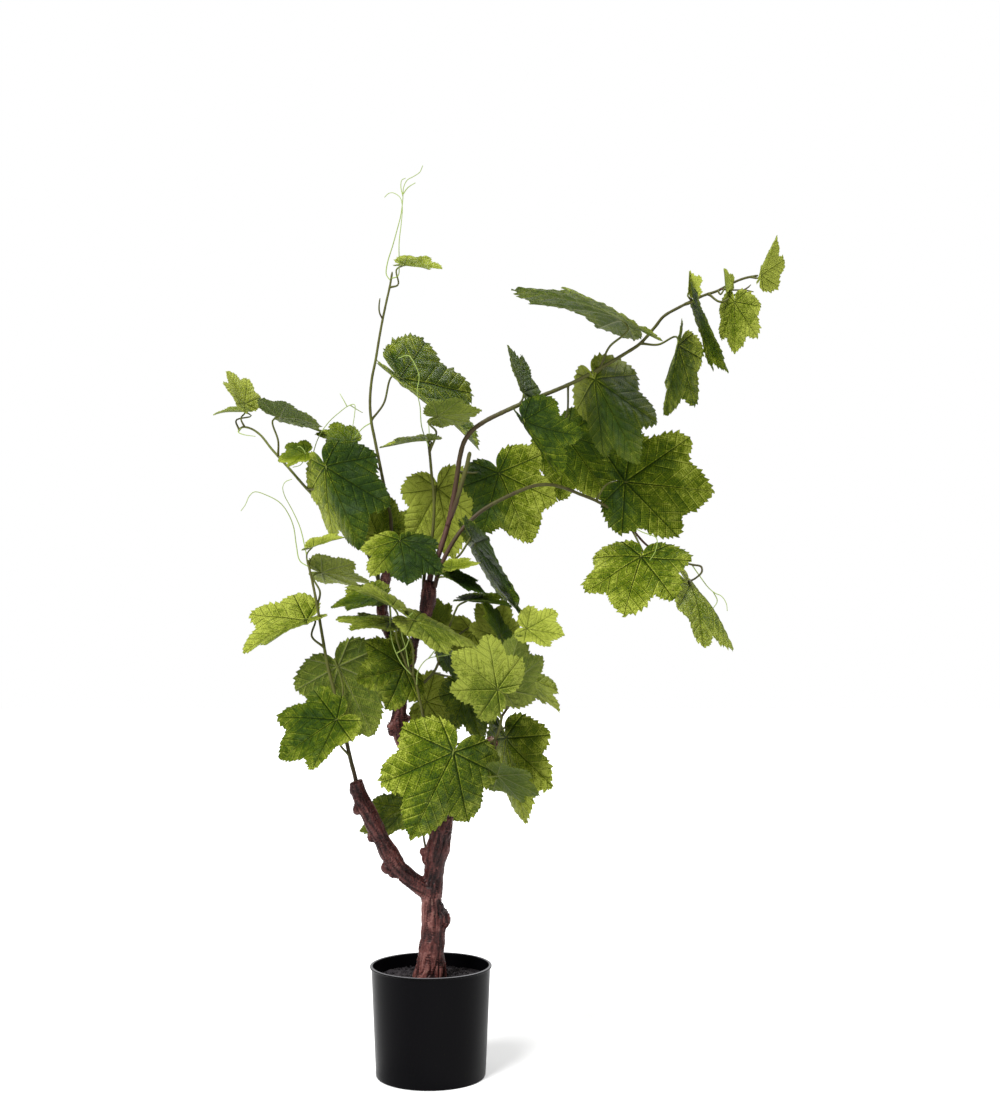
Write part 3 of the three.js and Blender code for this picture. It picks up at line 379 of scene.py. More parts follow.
PATCHES = {
    "L4": (-80, 1.15), "C2": (112, 1.0), "B1": (-75, 0.35), "R5": (150, 0.5), "L5": (-60, 1.15),
    "R3": (-12, 1.3), "R8": (20, 0.3), "B3a": (180, 0.4), "L10": (60, 0.4), "R6": (-150, 0.35),
    "C3": (-60, 0.3), "C1": (180, 0.1), "R10": (0, 0.1), "R11": (0, 0.0), "B9": (180, 0.1), "R1": (60, 0.5),
    "R7": (60, 0.3), "B7a": (0, 0.4), "L13": (0, 0.3), "L9": (180, 0.3), "B5a": (0, 0.1), "B6": (0, 0.1),
}


# Places and lines

def spread(depth):
    return 1 + depth / EYE_DISTANCE


def place(point):
    x, z, depth = point[:3]
    s = spread(depth)
    return np.array([EYE_X + (x - EYE_X) * s, depth, EYE_Z + (z - EYE_Z) * s])


def seen(points):
    s = spread(points[:, 1])
    return np.stack([EYE_X + (points[:, 0] - EYE_X) / s, EYE_Z + (points[:, 2] - EYE_Z) / s], 1)


def unit(vectors):
    return vectors / np.maximum(np.linalg.norm(vectors, axis=-1, keepdims=True), 1e-12)


def spline(points, step, values=None):
    """Points at even steps along a centripetal spline, and the values that run evenly between its knees."""
    given = np.asarray(points, float)
    given = np.vstack([2 * given[0] - given[1], given, 2 * given[-1] - given[-2]])
    share = np.linspace(0, 1, 24, endpoint=False)[:, None]
    spans = []
    for a, b, c, d in zip(given, given[1:], given[2:], given[3:]):
        before, here, after = (math.sqrt(np.linalg.norm(q - p)) for p, q in ((a, b), (b, c), (c, d)))
        leaving = ((b - a) / before - (c - a) / (before + here) + (c - b) / here) * here
        arriving = ((c - b) / here - (d - b) / (here + after) + (d - c) / after) * here
        spans.append(
            b + share * leaving + share ** 2 * (3 * (c - b) - 2 * leaving - arriving)
            + share ** 3 * (2 * (b - c) + leaving + arriving)
        )
    line = np.vstack(spans + [given[-2:-1]])
    arc = np.concatenate([[0], np.cumsum(np.linalg.norm(np.diff(line, axis=0), axis=1))])
    even = np.linspace(0, arc[-1], max(3, round(arc[-1] / step)) + 1)
    smooth = np.stack([np.interp(even, arc, column) for column in line.T], 1)
    return smooth if values is None else (smooth, np.interp(even, arc[::len(share)], values))


def ring_faces(rings, sides):
    """The faces between rings of vertices, and the fans to the middles of both ends, which come after them."""
    here = np.arange(sides)
    after = (here + 1) % sides
    first = rings * sides
    top = first - sides
    faces = []
    for row in range(0, top, sides):
        faces += np.stack([row + here, row + after, row + after + sides, row + here + sides], 1).tolist()
    faces += np.stack([np.full(sides, first), after, here], 1).tolist()
    faces += np.stack([np.full(sides, first + 1), top + here, top + after], 1).tolist()
    return faces


def tube(line, radii, sides):
    """A closed round tube: its vertices, and its faces as lists of corners."""
    tangents = unit(np.gradient(line, axis=0))
    side = np.cross(tangents[0], [0.31, 0.87, 0.38])
    right = []
    for tangent in tangents:
        side = unit(side - tangent * np.dot(side, tangent))
        right.append(side)
    right = np.array(right)
    up = np.cross(tangents, right)
    angle = np.arange(sides) * 2 * math.pi / sides
    ring = np.cos(angle)[None, :, None] * right[:, None, :] + np.sin(angle)[None, :, None] * up[:, None, :]
    verts = (line[:, None, :] + np.asarray(radii)[:, None, None] * ring).reshape(-1, 3)
    return np.vstack([verts, line[0], line[-1]]), ring_faces(len(line), sides)


class Piece:
    """Gathers vertices, faces and values at the vertices, and makes one object of them."""

    def __init__(self):
        self.verts = []
        self.faces = []
        self.values = {}
        self.count = 0

    def add(self, verts, faces, **values):
        self.verts.append(verts)
        self.faces += [[corner + self.count for corner in face] for face in faces]
        self.count += len(verts)
        for name, value in values.items():
            self.values.setdefault(name, []).append(np.broadcast_to(value, (len(verts), 3)))

    def made(self, name, material, sharp=None):
        mesh = bpy.data.meshes.new(name)
        mesh.from_pydata((np.vstack(self.verts) * MM).tolist(), [], self.faces)
        for key, value in self.values.items():
            store(mesh, key, np.vstack(value))
        mesh.shade_smooth()
        if sharp is not None:
            mesh.set_sharp_from_angle(angle=math.radians(sharp))
        mesh.materials.append(material)
        return linked(name, mesh)


def linked(name, data):
    """A new object in the scene."""
    made = bpy.data.objects.new(name, data)
    bpy.context.scene.collection.objects.link(made)
    return made


def store(mesh, name, vectors):
    kept = mesh.attributes.new(name, "FLOAT_VECTOR", "POINT")
    kept.data.foreach_set("vector", np.asarray(vectors, np.float32).ravel())


# Leaves

def lobe_radius(angle):
    degrees, shares = zip(*LEAF_LOBES)
    return np.interp(np.degrees(np.abs(angle)), degrees, shares)


def rib_field(u, v, m):
    """Distances from a blade's nearest main rib and side rib, negative on one side of each, and the place
    along the main rib. m is numpy for a mesh, or a node graph for a material."""
    angle = m.arctan2(m.absolute(u), v)
    reach = m.sqrt(u * u + v * v)
    rib = RIB_ANGLES[0]
    for low, high in zip(RIB_ANGLES, RIB_ANGLES[1:]):
        rib = rib + (high - low) * m.greater(angle, (low + high) / 2)
    turn = angle - rib
    along = reach * m.cos(turn)
    off = reach * m.sin(turn)
    phase = (along - m.absolute(off) * RIB_SLANT) / RIB_PITCH + 0.5 * m.greater(turn, 0.0)
    side = (phase - m.floor(phase) - 0.5) * (RIB_PITCH * 0.72)
    return off, side, along


def outline_of(scale, rng):
    """A blade's toothed edge, anticlockwise, as shares of its size."""
    angle = np.linspace(-math.pi, math.pi, EDGE_SAMPLES)
    uneven = sum(height * np.sin(count * angle + rng.uniform(0, 6.3)) for count, height in EDGE_SWAYS)
    for notch, depth in zip(NOTCHES, rng.uniform(0.5, 1.3, len(NOTCHES)) * NOTCH_DEPTH):
        uneven -= depth * np.exp(-(((angle - math.radians(notch)) / NOTCH_WIDTH) ** 2))
    radius = lobe_radius(angle) * (1 + uneven)
    edge = np.stack([np.sin(angle) * radius, np.cos(angle) * radius], 1)[::-1]
    angle = angle[::-1]
    arc = np.concatenate([[0], np.cumsum(np.linalg.norm(np.diff(edge, axis=0), axis=1))])
    teeth = round(arc[-1] * scale / (TOOTH_PITCH + TOOTH_SPREAD * scale))
    out = unit(np.stack([np.gradient(edge[:, 1]), -np.gradient(edge[:, 0])], 1))
    steps = rng.uniform(0.6, 1.5, teeth)
    starts = np.concatenate([[0], np.cumsum(steps)]) / steps.sum()
    points = []
    for tooth in range(teeth):
        depth = (TOOTH_DEPTH + TOOTH_LEAST / scale) * rng.uniform(0.4, 1.1) * steps[tooth]
        start, end = starts[tooth:tooth + 2]
        shape = TOOTH_PROFILE
        if tooth >= teeth / 2:
            shape = [(1 - share, height) for share, height in TOOTH_PROFILE[::-1]]
        for share, height in shape:
            at = (start + (end - start) * share) * arc[-1]
            x, y, out_x, out_y, turn = (np.interp(at, arc, column) for column in (*edge.T, *out.T, angle))
            calm = np.clip((2.8 - abs(turn)) / 0.4, 0, 1)
            points.append([x + out_x * depth * height * calm, y + out_y * depth * height * calm])
    return np.array(points)


def inside(points, edge):
    """Which points lie inside a closed edge, by how often a ray to the right crosses it."""
    x, y = points[:, :1], points[:, 1:]
    ax, ay = edge.T
    bx, by = np.roll(edge, -1, axis=0).T
    crosses = (ay > y) != (by > y)
    with np.errstate(divide="ignore", invalid="ignore"):
        meets = x < ax + (y - ay) * (bx - ax) / (by - ay)
    return (crosses & meets).sum(1) % 2 == 1


def flat_blade(scale, rng):
    """A blade's flat net of triangles: its points, its triangles and the steps of its edge."""
    edge = outline_of(scale, rng)
    spacing = min(max(scale * NET_SHARE, NET_FINEST), NET_COARSEST) / scale
    rows = np.arange(-0.95, 1.05, spacing * 0.866)
    columns = np.arange(-1, 1, spacing)
    grid = np.array([[x + (i % 2) * spacing / 2, y] for i, y in enumerate(rows) for x in columns])
    grid = grid[inside(grid, edge)]
    gaps = np.linalg.norm(grid[:, None, :] - edge[None, :, :], axis=2).min(1)
    grid = grid[gaps > spacing * 0.55]
    points = [Vector(p) for p in np.vstack([edge, grid])]
    made = delaunay_2d_cdt(points, [], [list(range(len(edge)))], 1, 1e-7)
    flat = np.array([tuple(p) for p in made[0]])
    triangles = np.array(made[2])
    a, b, c = (flat[triangles[:, k]] for k in range(3))
    turned = (b[:, 0] - a[:, 0]) * (c[:, 1] - a[:, 1]) < (b[:, 1] - a[:, 1]) * (c[:, 0] - a[:, 0])
    triangles[turned] = triangles[turned][:, ::-1]
    steps = {(int(t[k]), int(t[(k + 1) % 3])) for t in triangles for k in range(3)}
    rim = np.array([step for step in steps if step[::-1] not in steps])
    return flat, triangles, rim


def leaf_frame(size, at, pose):
    """A blade's size and place, and its ways across, along and out of its upper face."""
    aim, lean, roll = (math.radians(a) for a in pose)
    flat = np.array([math.sin(aim), 0, math.cos(aim)])
    viewer = np.array([0.0, -1.0, 0.0])
    tip = flat * math.cos(lean) + viewer * math.sin(lean)
    face_on = viewer * math.cos(lean) - flat * math.sin(lean)
    normal = face_on * math.cos(roll) + np.cross(tip, face_on) * math.sin(roll)
    across = np.cross(tip, normal)
    return {"centre": place(at), "across": across, "tip": tip, "normal": normal, "scale": size * spread(at[2])}


def blade_points(flat, form, phase):
    """The middle surface of a blade, as shares of its size, from its flat places across and along."""
    across, along = flat.T
    fold, droop = (math.radians(a) for a in form)
    angle = np.arctan2(across, along)
    reach = np.minimum(1, across ** 2 + along ** 2)
    off, side, _ = np.abs(rib_field(across, along, np))
    swell = np.minimum(1, side / (0.3 * RIB_PITCH)) ** 0.7 * np.minimum(1, off / 0.05)
    groove = np.exp(-((off / GROOVE_WIDTH) ** 2))
    height = (
        (np.sqrt(across ** 2 + RIDGE_SOFTNESS ** 2) - RIDGE_SOFTNESS) * math.sin(fold)
        + WAVE_HEIGHT * reach * np.sin(3 * angle + phase)
        + RIPPLE_HEIGHT * reach ** 1.5 * np.sin(11 * angle + 2.7 * phase)
        + RUMPLE_HEIGHT * np.sin(6.1 * across + phase) * np.sin(5.3 * along + 1.7 * phase)
        + QUILT_HEIGHT * (swell - 0.5) - GROOVE_DEPTH * groove
    )
    bend = droop * along
    return np.stack([
        across * math.cos(fold),
        np.sin(bend) / droop + height * np.sin(bend),
        height * np.cos(bend) - (1 - np.cos(bend)) / droop,
    ], 1)


def add_leaf(piece, label, leaf, form, phase, rng):
    """A thin closed blade. Its vertices keep their flat place, their closeness to the edge, and the paint."""
    flat, triangles, rim = flat_blade(leaf["scale"], rng)
    local = blade_points(flat, form, phase) * leaf["scale"]
    middle = leaf["centre"] + local @ np.stack([leaf["across"], leaf["tip"], leaf["normal"]])
    a, b, c = (middle[triangles[:, k]] for k in range(3))
    out = np.zeros_like(middle)
    for k in range(3):
        np.add.at(out, triangles[:, k], np.cross(b - a, c - a))
    out = unit(out) * BLADE_THICKNESS / 2
    count = len(middle)
    faces = triangles.tolist() + (triangles[:, ::-1] + count).tolist()
    faces += np.stack([rim[:, 1], rim[:, 0], rim[:, 0] + count, rim[:, 1] + count], 1).tolist()
    angle = np.arctan2(*flat.T)
    margin = np.linalg.norm(flat, axis=1) / lobe_radius(angle)
    light, pale = LOOKS[KIND_OF.get(label, "middle")]
    light += rng.uniform(-LIGHT_SPREAD, LIGHT_SPREAD)
    bearing, strength = PATCHES.get(label, (rng.uniform(-180, 180), WEAK_PATCH))
    turn = math.radians(bearing)
    sunk = np.clip(0.5 + 1.5 * (flat @ [math.sin(turn), math.cos(turn)]), 0, 1)
    patch = strength * sunk ** 2 * (3 - 2 * sunk)
    blade = np.column_stack([flat, margin])
    paint = [np.broadcast_to([light, pale, upper], (count, 3)) for upper in (1.0, 0.0)]
    broad = np.clip((leaf["scale"] - SMALL_LEAF) / SMALL_LEAF, 0, 1)
    tint = np.column_stack([patch, np.full(count, broad), np.zeros(count)])
    piece.add(
        np.vstack([middle + out, middle - out]), faces,
        blade=np.vstack([blade, blade]), paint=np.vstack(paint), tint=np.vstack([tint, tint]),
    )


# Stems: each vertex keeps its age, from 0, green, to 1, bark, and how far it is a tendril

def nearest_on(lines, spot):
    """The place on the canes that is nearest a place in the front view."""
    points = np.vstack(lines)
    return points[np.linalg.norm(seen(points) - np.asarray(spot), axis=1).argmin()]


def aged(age):
    return np.column_stack([age, np.zeros_like(age), np.zeros_like(age)])


def add_cane(piece, radii, path, sides, old):
    thick, thin = radii
    line = spline([place(p) for p in path], STEM_STEP)
    share = np.linspace(0, 1, len(line))
    radius = thick + (thin - thick) * share
    here = np.arange(len(line))
    radius = radius * (1 + CANE_LUMPS * np.sin(here * 1.7) * np.sin(here * 0.43))
    radius[-1] *= CANE_END
    age = np.append(np.repeat(old[0] + (old[1] - old[0]) * np.minimum(1, 2 * share), sides), old)
    piece.add(*tube(line, radius, sides), stem=aged(age))
    return line


def add_tendril(piece, path, lines):
    points = [place(p) for p in path]
    joined = np.vstack(lines)
    points[0] = joined[np.linalg.norm(joined - points[0], axis=1).argmin()]
    line = spline(points, STEM_STEP * 0.8)
    radius = TENDRIL_RADIUS * (1.1 - 0.45 * np.linspace(0, 1, len(line)))
    piece.add(*tube(line, radius, TENDRIL_SIDES), stem=[0.0, 1.0, 0.0])
    return line


def add_petiole(piece, spot, via, leaf, lines):
    start = nearest_on(lines, spot)
    reach = np.linalg.norm(leaf["centre"] - start)
    behind = leaf["centre"] - leaf["tip"] * min(9, reach * 0.3) - leaf["normal"] * min(6, reach * 0.22)
    end = leaf["centre"] + leaf["tip"] * 0.03 * leaf["scale"] - leaf["normal"] * 0.2
    points = [start, *(place(p) for p in via), behind, end]
    line = spline(points, STEM_STEP)
    share = np.linspace(0, 1, len(line))
    root = PETIOLE_RADIUS * ROOT_SWELLING * (0.8 if leaf["scale"] < MEDIUM_LEAF else 1)
    radius = root * (1 - PETIOLE_TAPER * share) * (1 + 0.5 * np.exp(-share * reach / 3))
    radius[-2:] *= [0.8, 0.4]
    age = np.append(np.repeat(0.3 - 0.22 * share, PETIOLE_SIDES), [0.3, 0.08])
    piece.add(*tube(line, radius, PETIOLE_SIDES), stem=aged(age))


def shoot_pieces(index, name, leaf_paint, stem_paint):
    """The leaves of one shoot as one piece, and its canes, stalks and tendrils as another."""
    cane_rows, tendril_rows, leaf_rows = SHOOTS[name]
    rng = np.random.default_rng(SEED + index)
    stems = Piece()
    leaves = Piece()
    canes = []
    for radii, *path in cane_rows:
        sides = SIDE_CANE_SIDES if canes else MAIN_CANE_SIDES
        canes.append(add_cane(stems, radii, path, sides, CANE_AGES.get(name, USUAL_AGES)))
    lines = list(canes)
    for path in tendril_rows + EXTRA_TENDRILS.get(name, []):
        lines.append(add_tendril(stems, path, lines))
    for order, (label, size, at, form, spot, *via) in enumerate(leaf_rows):
        leaf = leaf_frame(size, at, form[:3])
        add_leaf(leaves, label, leaf, form[3:], index * 1.9 + order * 2.4, rng)
        add_petiole(stems, spot, via, leaf, canes)
    for piece in leaves.made(name + "_leaves", leaf_paint, sharp=50), stems.made(name + "_stems", stem_paint):
        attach(piece, "root")
        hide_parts(name)


# Materials

class Wire:
    """A value in a node graph, which adds, subtracts, multiplies and divides as numbers do."""

    def __init__(self, graph, socket):
        self.graph = graph
        self.socket = socket

    def sum(self, operation, other):
        return self.graph.math(operation, self, other)

    def __rsub__(self, other):
        return self.graph.math("SUBTRACT", other, self)

    __add__ = __radd__ = partialmethod(sum, "ADD")
    __sub__ = partialmethod(sum, "SUBTRACT")
    __mul__ = __rmul__ = partialmethod(sum, "MULTIPLY")
    __truediv__ = partialmethod(sum, "DIVIDE")


class Graph:
    """A material's nodes."""

    def __init__(self, name):
        self.material = bpy.data.materials.new(name)
        self.material.use_nodes = True
        self.tree = self.material.node_tree
        self.tree.nodes.clear()

    def feed(self, socket, value):
        if isinstance(value, Wire):
            self.tree.links.new(value.socket, socket)
        else:
            socket.default_value = value

    def node(self, kind, settings=None, **inputs):
        """A new node. Its inputs are given in small letters, with underscores for spaces."""
        made = self.tree.nodes.new(kind)
        for key, value in (settings or {}).items():
            setattr(made, key, value)
        for key, value in inputs.items():
            self.feed(made.inputs[key.replace("_", " ").title().replace("Ior", "IOR")], value)
        return made

    def wire(self, output, kind, settings=None, **inputs):
        return Wire(self, self.node(kind, settings, **inputs).outputs[output])

    def math(self, operation, *values):
        made = self.node("ShaderNodeMath", {"operation": operation})
        for socket, value in zip(made.inputs, values):
            self.feed(socket, value)
        return Wire(self, made.outputs[0])

    def line(self, distance, width):
        """1 on a line, falling smoothly to 0 at some widths from it."""
        share = distance / width
        return self.math("EXPONENT", share * share * -1.0)

    def smooth(self, value, low, high):
        settings = {"interpolation_type": "SMOOTHSTEP"}
        return self.wire("Result", "ShaderNodeMapRange", settings, value=value, from_min=low, from_max=high)

    def vector(self, name):
        return self.wire("Vector", "ShaderNodeAttribute", {"attribute_name": name})

    def parts(self, vector):
        return [Wire(self, output) for output in self.node("ShaderNodeSeparateXYZ", vector=vector).outputs]

    def place(self, stretch=(1, 1, 1)):
        spot = self.wire("Object", "ShaderNodeTexCoord")
        return self.wire("Vector", "ShaderNodeMapping", vector=spot, scale=stretch)

    def noise(self, vector, scale, detail=3, roughness=0.55):
        inputs = {"vector": vector, "scale": scale, "detail": detail, "roughness": roughness}
        return self.wire("Fac", "ShaderNodeTexNoise", **inputs)

    def cells(self, vector, scale):
        settings = {"feature": "DISTANCE_TO_EDGE"}
        return self.wire("Distance", "ShaderNodeTexVoronoi", settings, vector=vector, scale=scale)

    def mix(self, share, low, high):
        made = self.node("ShaderNodeMix", {"data_type": "RGBA"})
        for socket, value in zip((made.inputs[0], made.inputs[6], made.inputs[7]), (share, low, high)):
            self.feed(socket, value)
        return Wire(self, made.outputs[2])

    def ramp(self, share, stops):
        made = self.node("ShaderNodeValToRGB", fac=share)
        elements = made.color_ramp.elements
        while len(elements) < len(stops):
            elements.new(0.5)
        for element, (at, colour) in zip(elements, stops):
            element.position = at
            element.color = (*colour, 1)
        return Wire(self, made.outputs["Color"])

    def bump(self, height, distance, strength=1.0):
        return self.wire("Normal", "ShaderNodeBump", height=height, distance=distance, strength=strength)

    def coat(self, colour, roughness, gloss=0.5, **inputs):
        inputs.update(base_color=colour, roughness=roughness, specular_ior_level=gloss)
        return self.wire("BSDF", "ShaderNodeBsdfPrincipled", **inputs)

    def finish(self, shader):
        self.node("ShaderNodeOutputMaterial", surface=shader)
        return self.material


# The graph's sums have numpy's names, as rib_field needs both

for sum_name, operation in {
    "absolute": "ABSOLUTE", "arctan2": "ARCTAN2", "sqrt": "SQRT", "sin": "SINE", "cos": "COSINE",
    "floor": "FLOOR", "greater": "GREATER_THAN", "maximum": "MAXIMUM",
}.items():
    setattr(Graph, sum_name, partialmethod(Graph.math, operation))


def leaf_material():
    g = Graph("painted_cloth_leaf")
    u, v, margin = g.parts(g.vector("blade"))
    light, pale, upper = g.parts(g.vector("paint"))
    patch, broad, _ = g.parts(g.vector("tint"))
    beside, across, along = rib_field(u, v, g)
    off = g.absolute(beside)
    side = g.absolute(across)
    width = g.maximum(0.0082 - along * 0.006, 0.0028)
    rib = g.line(off, width)
    clear = g.smooth(off, 0, 0.03)
    side_rib = g.line(side, 0.0036) * clear
    # Painted highlight: a pale line beside each main rib and side rib, where light would catch the edge of a
    # groove.
    lit = g.line(beside - width * 1.9, width * 1.1) + g.line(across - 0.0085, 0.0048) * clear * 0.8
    # Painted shade: darker tone in the hollow along each main rib.
    sunk = g.line(off, width * 3.5)
    spot = g.place()
    cloud = g.noise(spot, 24)
    blotch = g.noise(spot, 110, 5, 0.75)
    rung = g.absolute(g.math("FRACT", (off + along * RIB_SLANT) / RUNG_PITCH + blotch * 1.6) - 0.5)
    rungs = g.line(rung - 0.5, 0.15)
    mesh = 1 - g.smooth(g.cells(spot, 500), 0, 0.32)
    edge = g.smooth(margin + (blotch - 0.5) * 0.5, 0.5, 1.02)
    grain = (cloud - 0.5) * 0.6 + (blotch - 0.5) * 0.95 + mesh * 0.22 + rungs * 0.15
    grain = grain * (broad * 0.6 + 0.4) * (1.4 - light * 0.5)
    tone = light + edge * 0.2 - patch * 0.42 + grain + lit * 0.34 - sunk * 0.12 - 0.18
    painted = g.ramp(tone, [
        (0, (0.006, 0.0155, 0.0035)), (0.25, (0.019, 0.046, 0.004)), (0.5, (0.055, 0.099, 0.0035)),
        (0.75, (0.156, 0.206, 0.007)), (1, (0.44, 0.5, 0.07)),
    ])
    # Painted sheen: pale grey-green clouds, stronger on the dark patch, in place of the cloth's soft
    # reflection.
    painted_sheen = g.smooth(g.noise(spot, 46, 4, 0.7), 0.5, 0.7) * (patch * 0.15 + 0.06)
    painted = g.mix(painted_sheen, painted, (0.2, 0.29, 0.15, 1))
    # The dark patch's blue-green: partly the print's own colour, partly painted sheen.
    painted = g.mix(patch * 0.28, painted, (0.034, 0.072, 0.022, 1))
    painted = g.mix(pale * 0.55, painted, (0.15, 0.205, 0.05, 1))
    lines = g.maximum(rib, side_rib * (broad * 0.3 + 0.14))
    above = g.mix(lines * (1.05 - light * 0.4 - pale * 0.9), painted, (0.021, 0.04, 0.007, 1))
    beneath = g.mix(0.45, painted, (0.15, 0.2, 0.045, 1))
    beneath = g.mix(lines, beneath, (0.33, 0.37, 0.13, 1))
    colour = g.mix(upper, beneath, above)
    ribs = (rib * 1.5 + side_rib * 1.1) * (1 - upper * 2)
    relief = ribs + mesh * 0.45 + rungs * 0.5 + blotch * 0.8
    normal = g.bump(relief * (broad * 0.75 + 0.25), 0.0014)
    cloth = g.coat(colour, 0.36, 0.08, normal=normal)
    through = g.mix(0.3, colour, (0.33, 0.4, 0.03, 1))
    glow = g.wire("BSDF", "ShaderNodeBsdfTranslucent", color=through, normal=normal)
    mixed = g.node("ShaderNodeMixShader", fac=0.27)
    g.feed(mixed.inputs[1], cloth)
    g.feed(mixed.inputs[2], glow)
    return g.finish(Wire(g, mixed.outputs[0]))


def stem_material():
    g = Graph("moulded_stem")
    age, tendril, _ = g.parts(g.vector("stem"))
    streak = g.noise(g.place((1, 1, 0.3)), 300)
    patch = g.noise(g.place(), 60, 2)
    colour = g.ramp(age + (streak - 0.5) * 0.4 + (patch - 0.5) * 0.3, [
        (0, (0.115, 0.145, 0.02)), (0.22, (0.075, 0.08, 0.016)), (0.45, (0.045, 0.037, 0.013)),
        (0.75, (0.058, 0.03, 0.02)), (1, (0.085, 0.04, 0.032)),
    ])
    colour = g.mix(tendril, colour, (0.25, 0.33, 0.075, 1))
    normal = g.bump(streak, 0.0006, 0.7)
    return g.finish(g.coat(colour, 0.5, 0.16, normal=normal))


def bark_material():
    g = Graph("moulded_bark")
    relief, cut, _ = g.parts(g.vector("relief"))
    streak = g.noise(g.place((1, 1, 0.22)), 420, 5, 0.65)
    patch = g.noise(g.place((1, 1, 0.6)), 60)
    highlight_fleck = g.smooth(g.noise(g.place((1, 1, 0.5)), 300), 0.6, 0.72)
    # Painted shade and light: the relief darkens the creases and lightens the ridges, up to painted highlights
    # at the top of the ramp.
    share = relief * 0.9 + (streak - 0.5) * 0.9 + (patch - 0.5) * 0.5 - 0.06
    colour = g.ramp(share, [
        (0, (0.005, 0.0018, 0.002)), (0.32, (0.023, 0.0066, 0.006)), (0.62, (0.076, 0.0215, 0.0185)),
        (1, (0.23, 0.102, 0.086)),
    ])
    # Painted highlights: pale tan flecks on the ridges.
    colour = g.mix(highlight_fleck * relief * 0.5, colour, (0.26, 0.165, 0.13, 1))
    colour = g.mix(cut * 0.7, colour, (0.3, 0.21, 0.14, 1))
    normal = g.bump(streak + highlight_fleck * 0.3, 0.0011, 0.9)
    return g.finish(g.coat(colour, 0.34, 0.19, normal=normal))


def soil_material():
    g = Graph("dark_soil")
    spot = g.place()
    grain = g.noise(spot, 620, 4, 0.7)
    patch = g.noise(spot, 60)
    colour = g.ramp(grain * 0.7 + patch * 0.4, [
        (0, (0.006, 0.005, 0.007)), (0.45, (0.012, 0.01, 0.013)), (0.8, (0.036, 0.031, 0.031)),
        (1, (0.11, 0.095, 0.088)),
    ])
    normal = g.bump(grain, 0.0012, 0.9)
    return g.finish(g.coat(colour, 0.9, 0.15, normal=normal))


def pot_material():
    g = Graph("satin_black_plastic")
    grain = g.noise(g.place(), 1500, 2)
    cloud = g.noise(g.place((1, 1, 0.25)), 22, 4)
    scuff = g.smooth(g.noise(g.place((1, 1, 6)), 90), 0.66, 0.8)
    colour = g.mix(scuff * 0.4 + cloud * 0.2, (0.0012, 0.0011, 0.0016, 1), (0.005, 0.0046, 0.0052, 1))
    _, _, height = g.parts(g.place())
    # Painted highlight: a pale line along the top of the lip.
    painted_rim_highlight = g.smooth(height, (POT_HEIGHT - 0.4) * MM, (POT_HEIGHT - 0.05) * MM)
    colour = g.mix(painted_rim_highlight * (cloud * 0.5 + 0.5), colour, (0.16, 0.158, 0.165, 1))
    rough = cloud * 0.1 + scuff * 0.1 + 0.24
    normal = g.bump(grain + cloud * 2, 0.00012, 0.5)
    return g.finish(g.coat(colour, rough, 0.045, normal=normal))


def filler_material():
    g = Graph("cast_weight")
    grain = g.noise(g.place(), 240, 5)
    colour = g.ramp(grain, [(0.2, (0.17, 0.16, 0.145)), (0.8, (0.36, 0.34, 0.31))])
    return g.finish(g.coat(colour, 0.95, normal=g.bump(grain, 0.001)))


def floor_material():
    g = Graph("pale_floor")
    haze = g.noise(g.place(), 3, 2)
    colour = g.mix(haze, (0.8, 0.8, 0.8, 1), (0.82, 0.82, 0.82, 1))
    return g.finish(g.coat(colour, 0.85, 0.1))


# Trunk

def knot_ball(row):
    """A ball of rings, stretched to a knot's half sizes."""
    x, z, depth, half_width, half_height, half_depth = row
    polar = np.linspace(0.12, math.pi - 0.12, 12)
    axis = np.stack([np.zeros(12), np.zeros(12), -np.cos(polar)], 1)
    verts, faces = tube(axis, np.sin(polar), 20)
    return place([x, z, depth]) + verts * [half_width, half_depth, half_height], faces


def noises(points, scale, octaves):
    """Layered noise at each point, about -1 to 1."""
    return np.array([noise.fractal(Vector(p), 1.0, 2.0, octaves) for p in points * scale])


def vectors_of(items, name):
    """The vectors of a mesh's vertices or normals."""
    values = np.empty(len(items) * 3, np.float32)
    items.foreach_get(name, values)
    return values.reshape(-1, 3).astype(float)


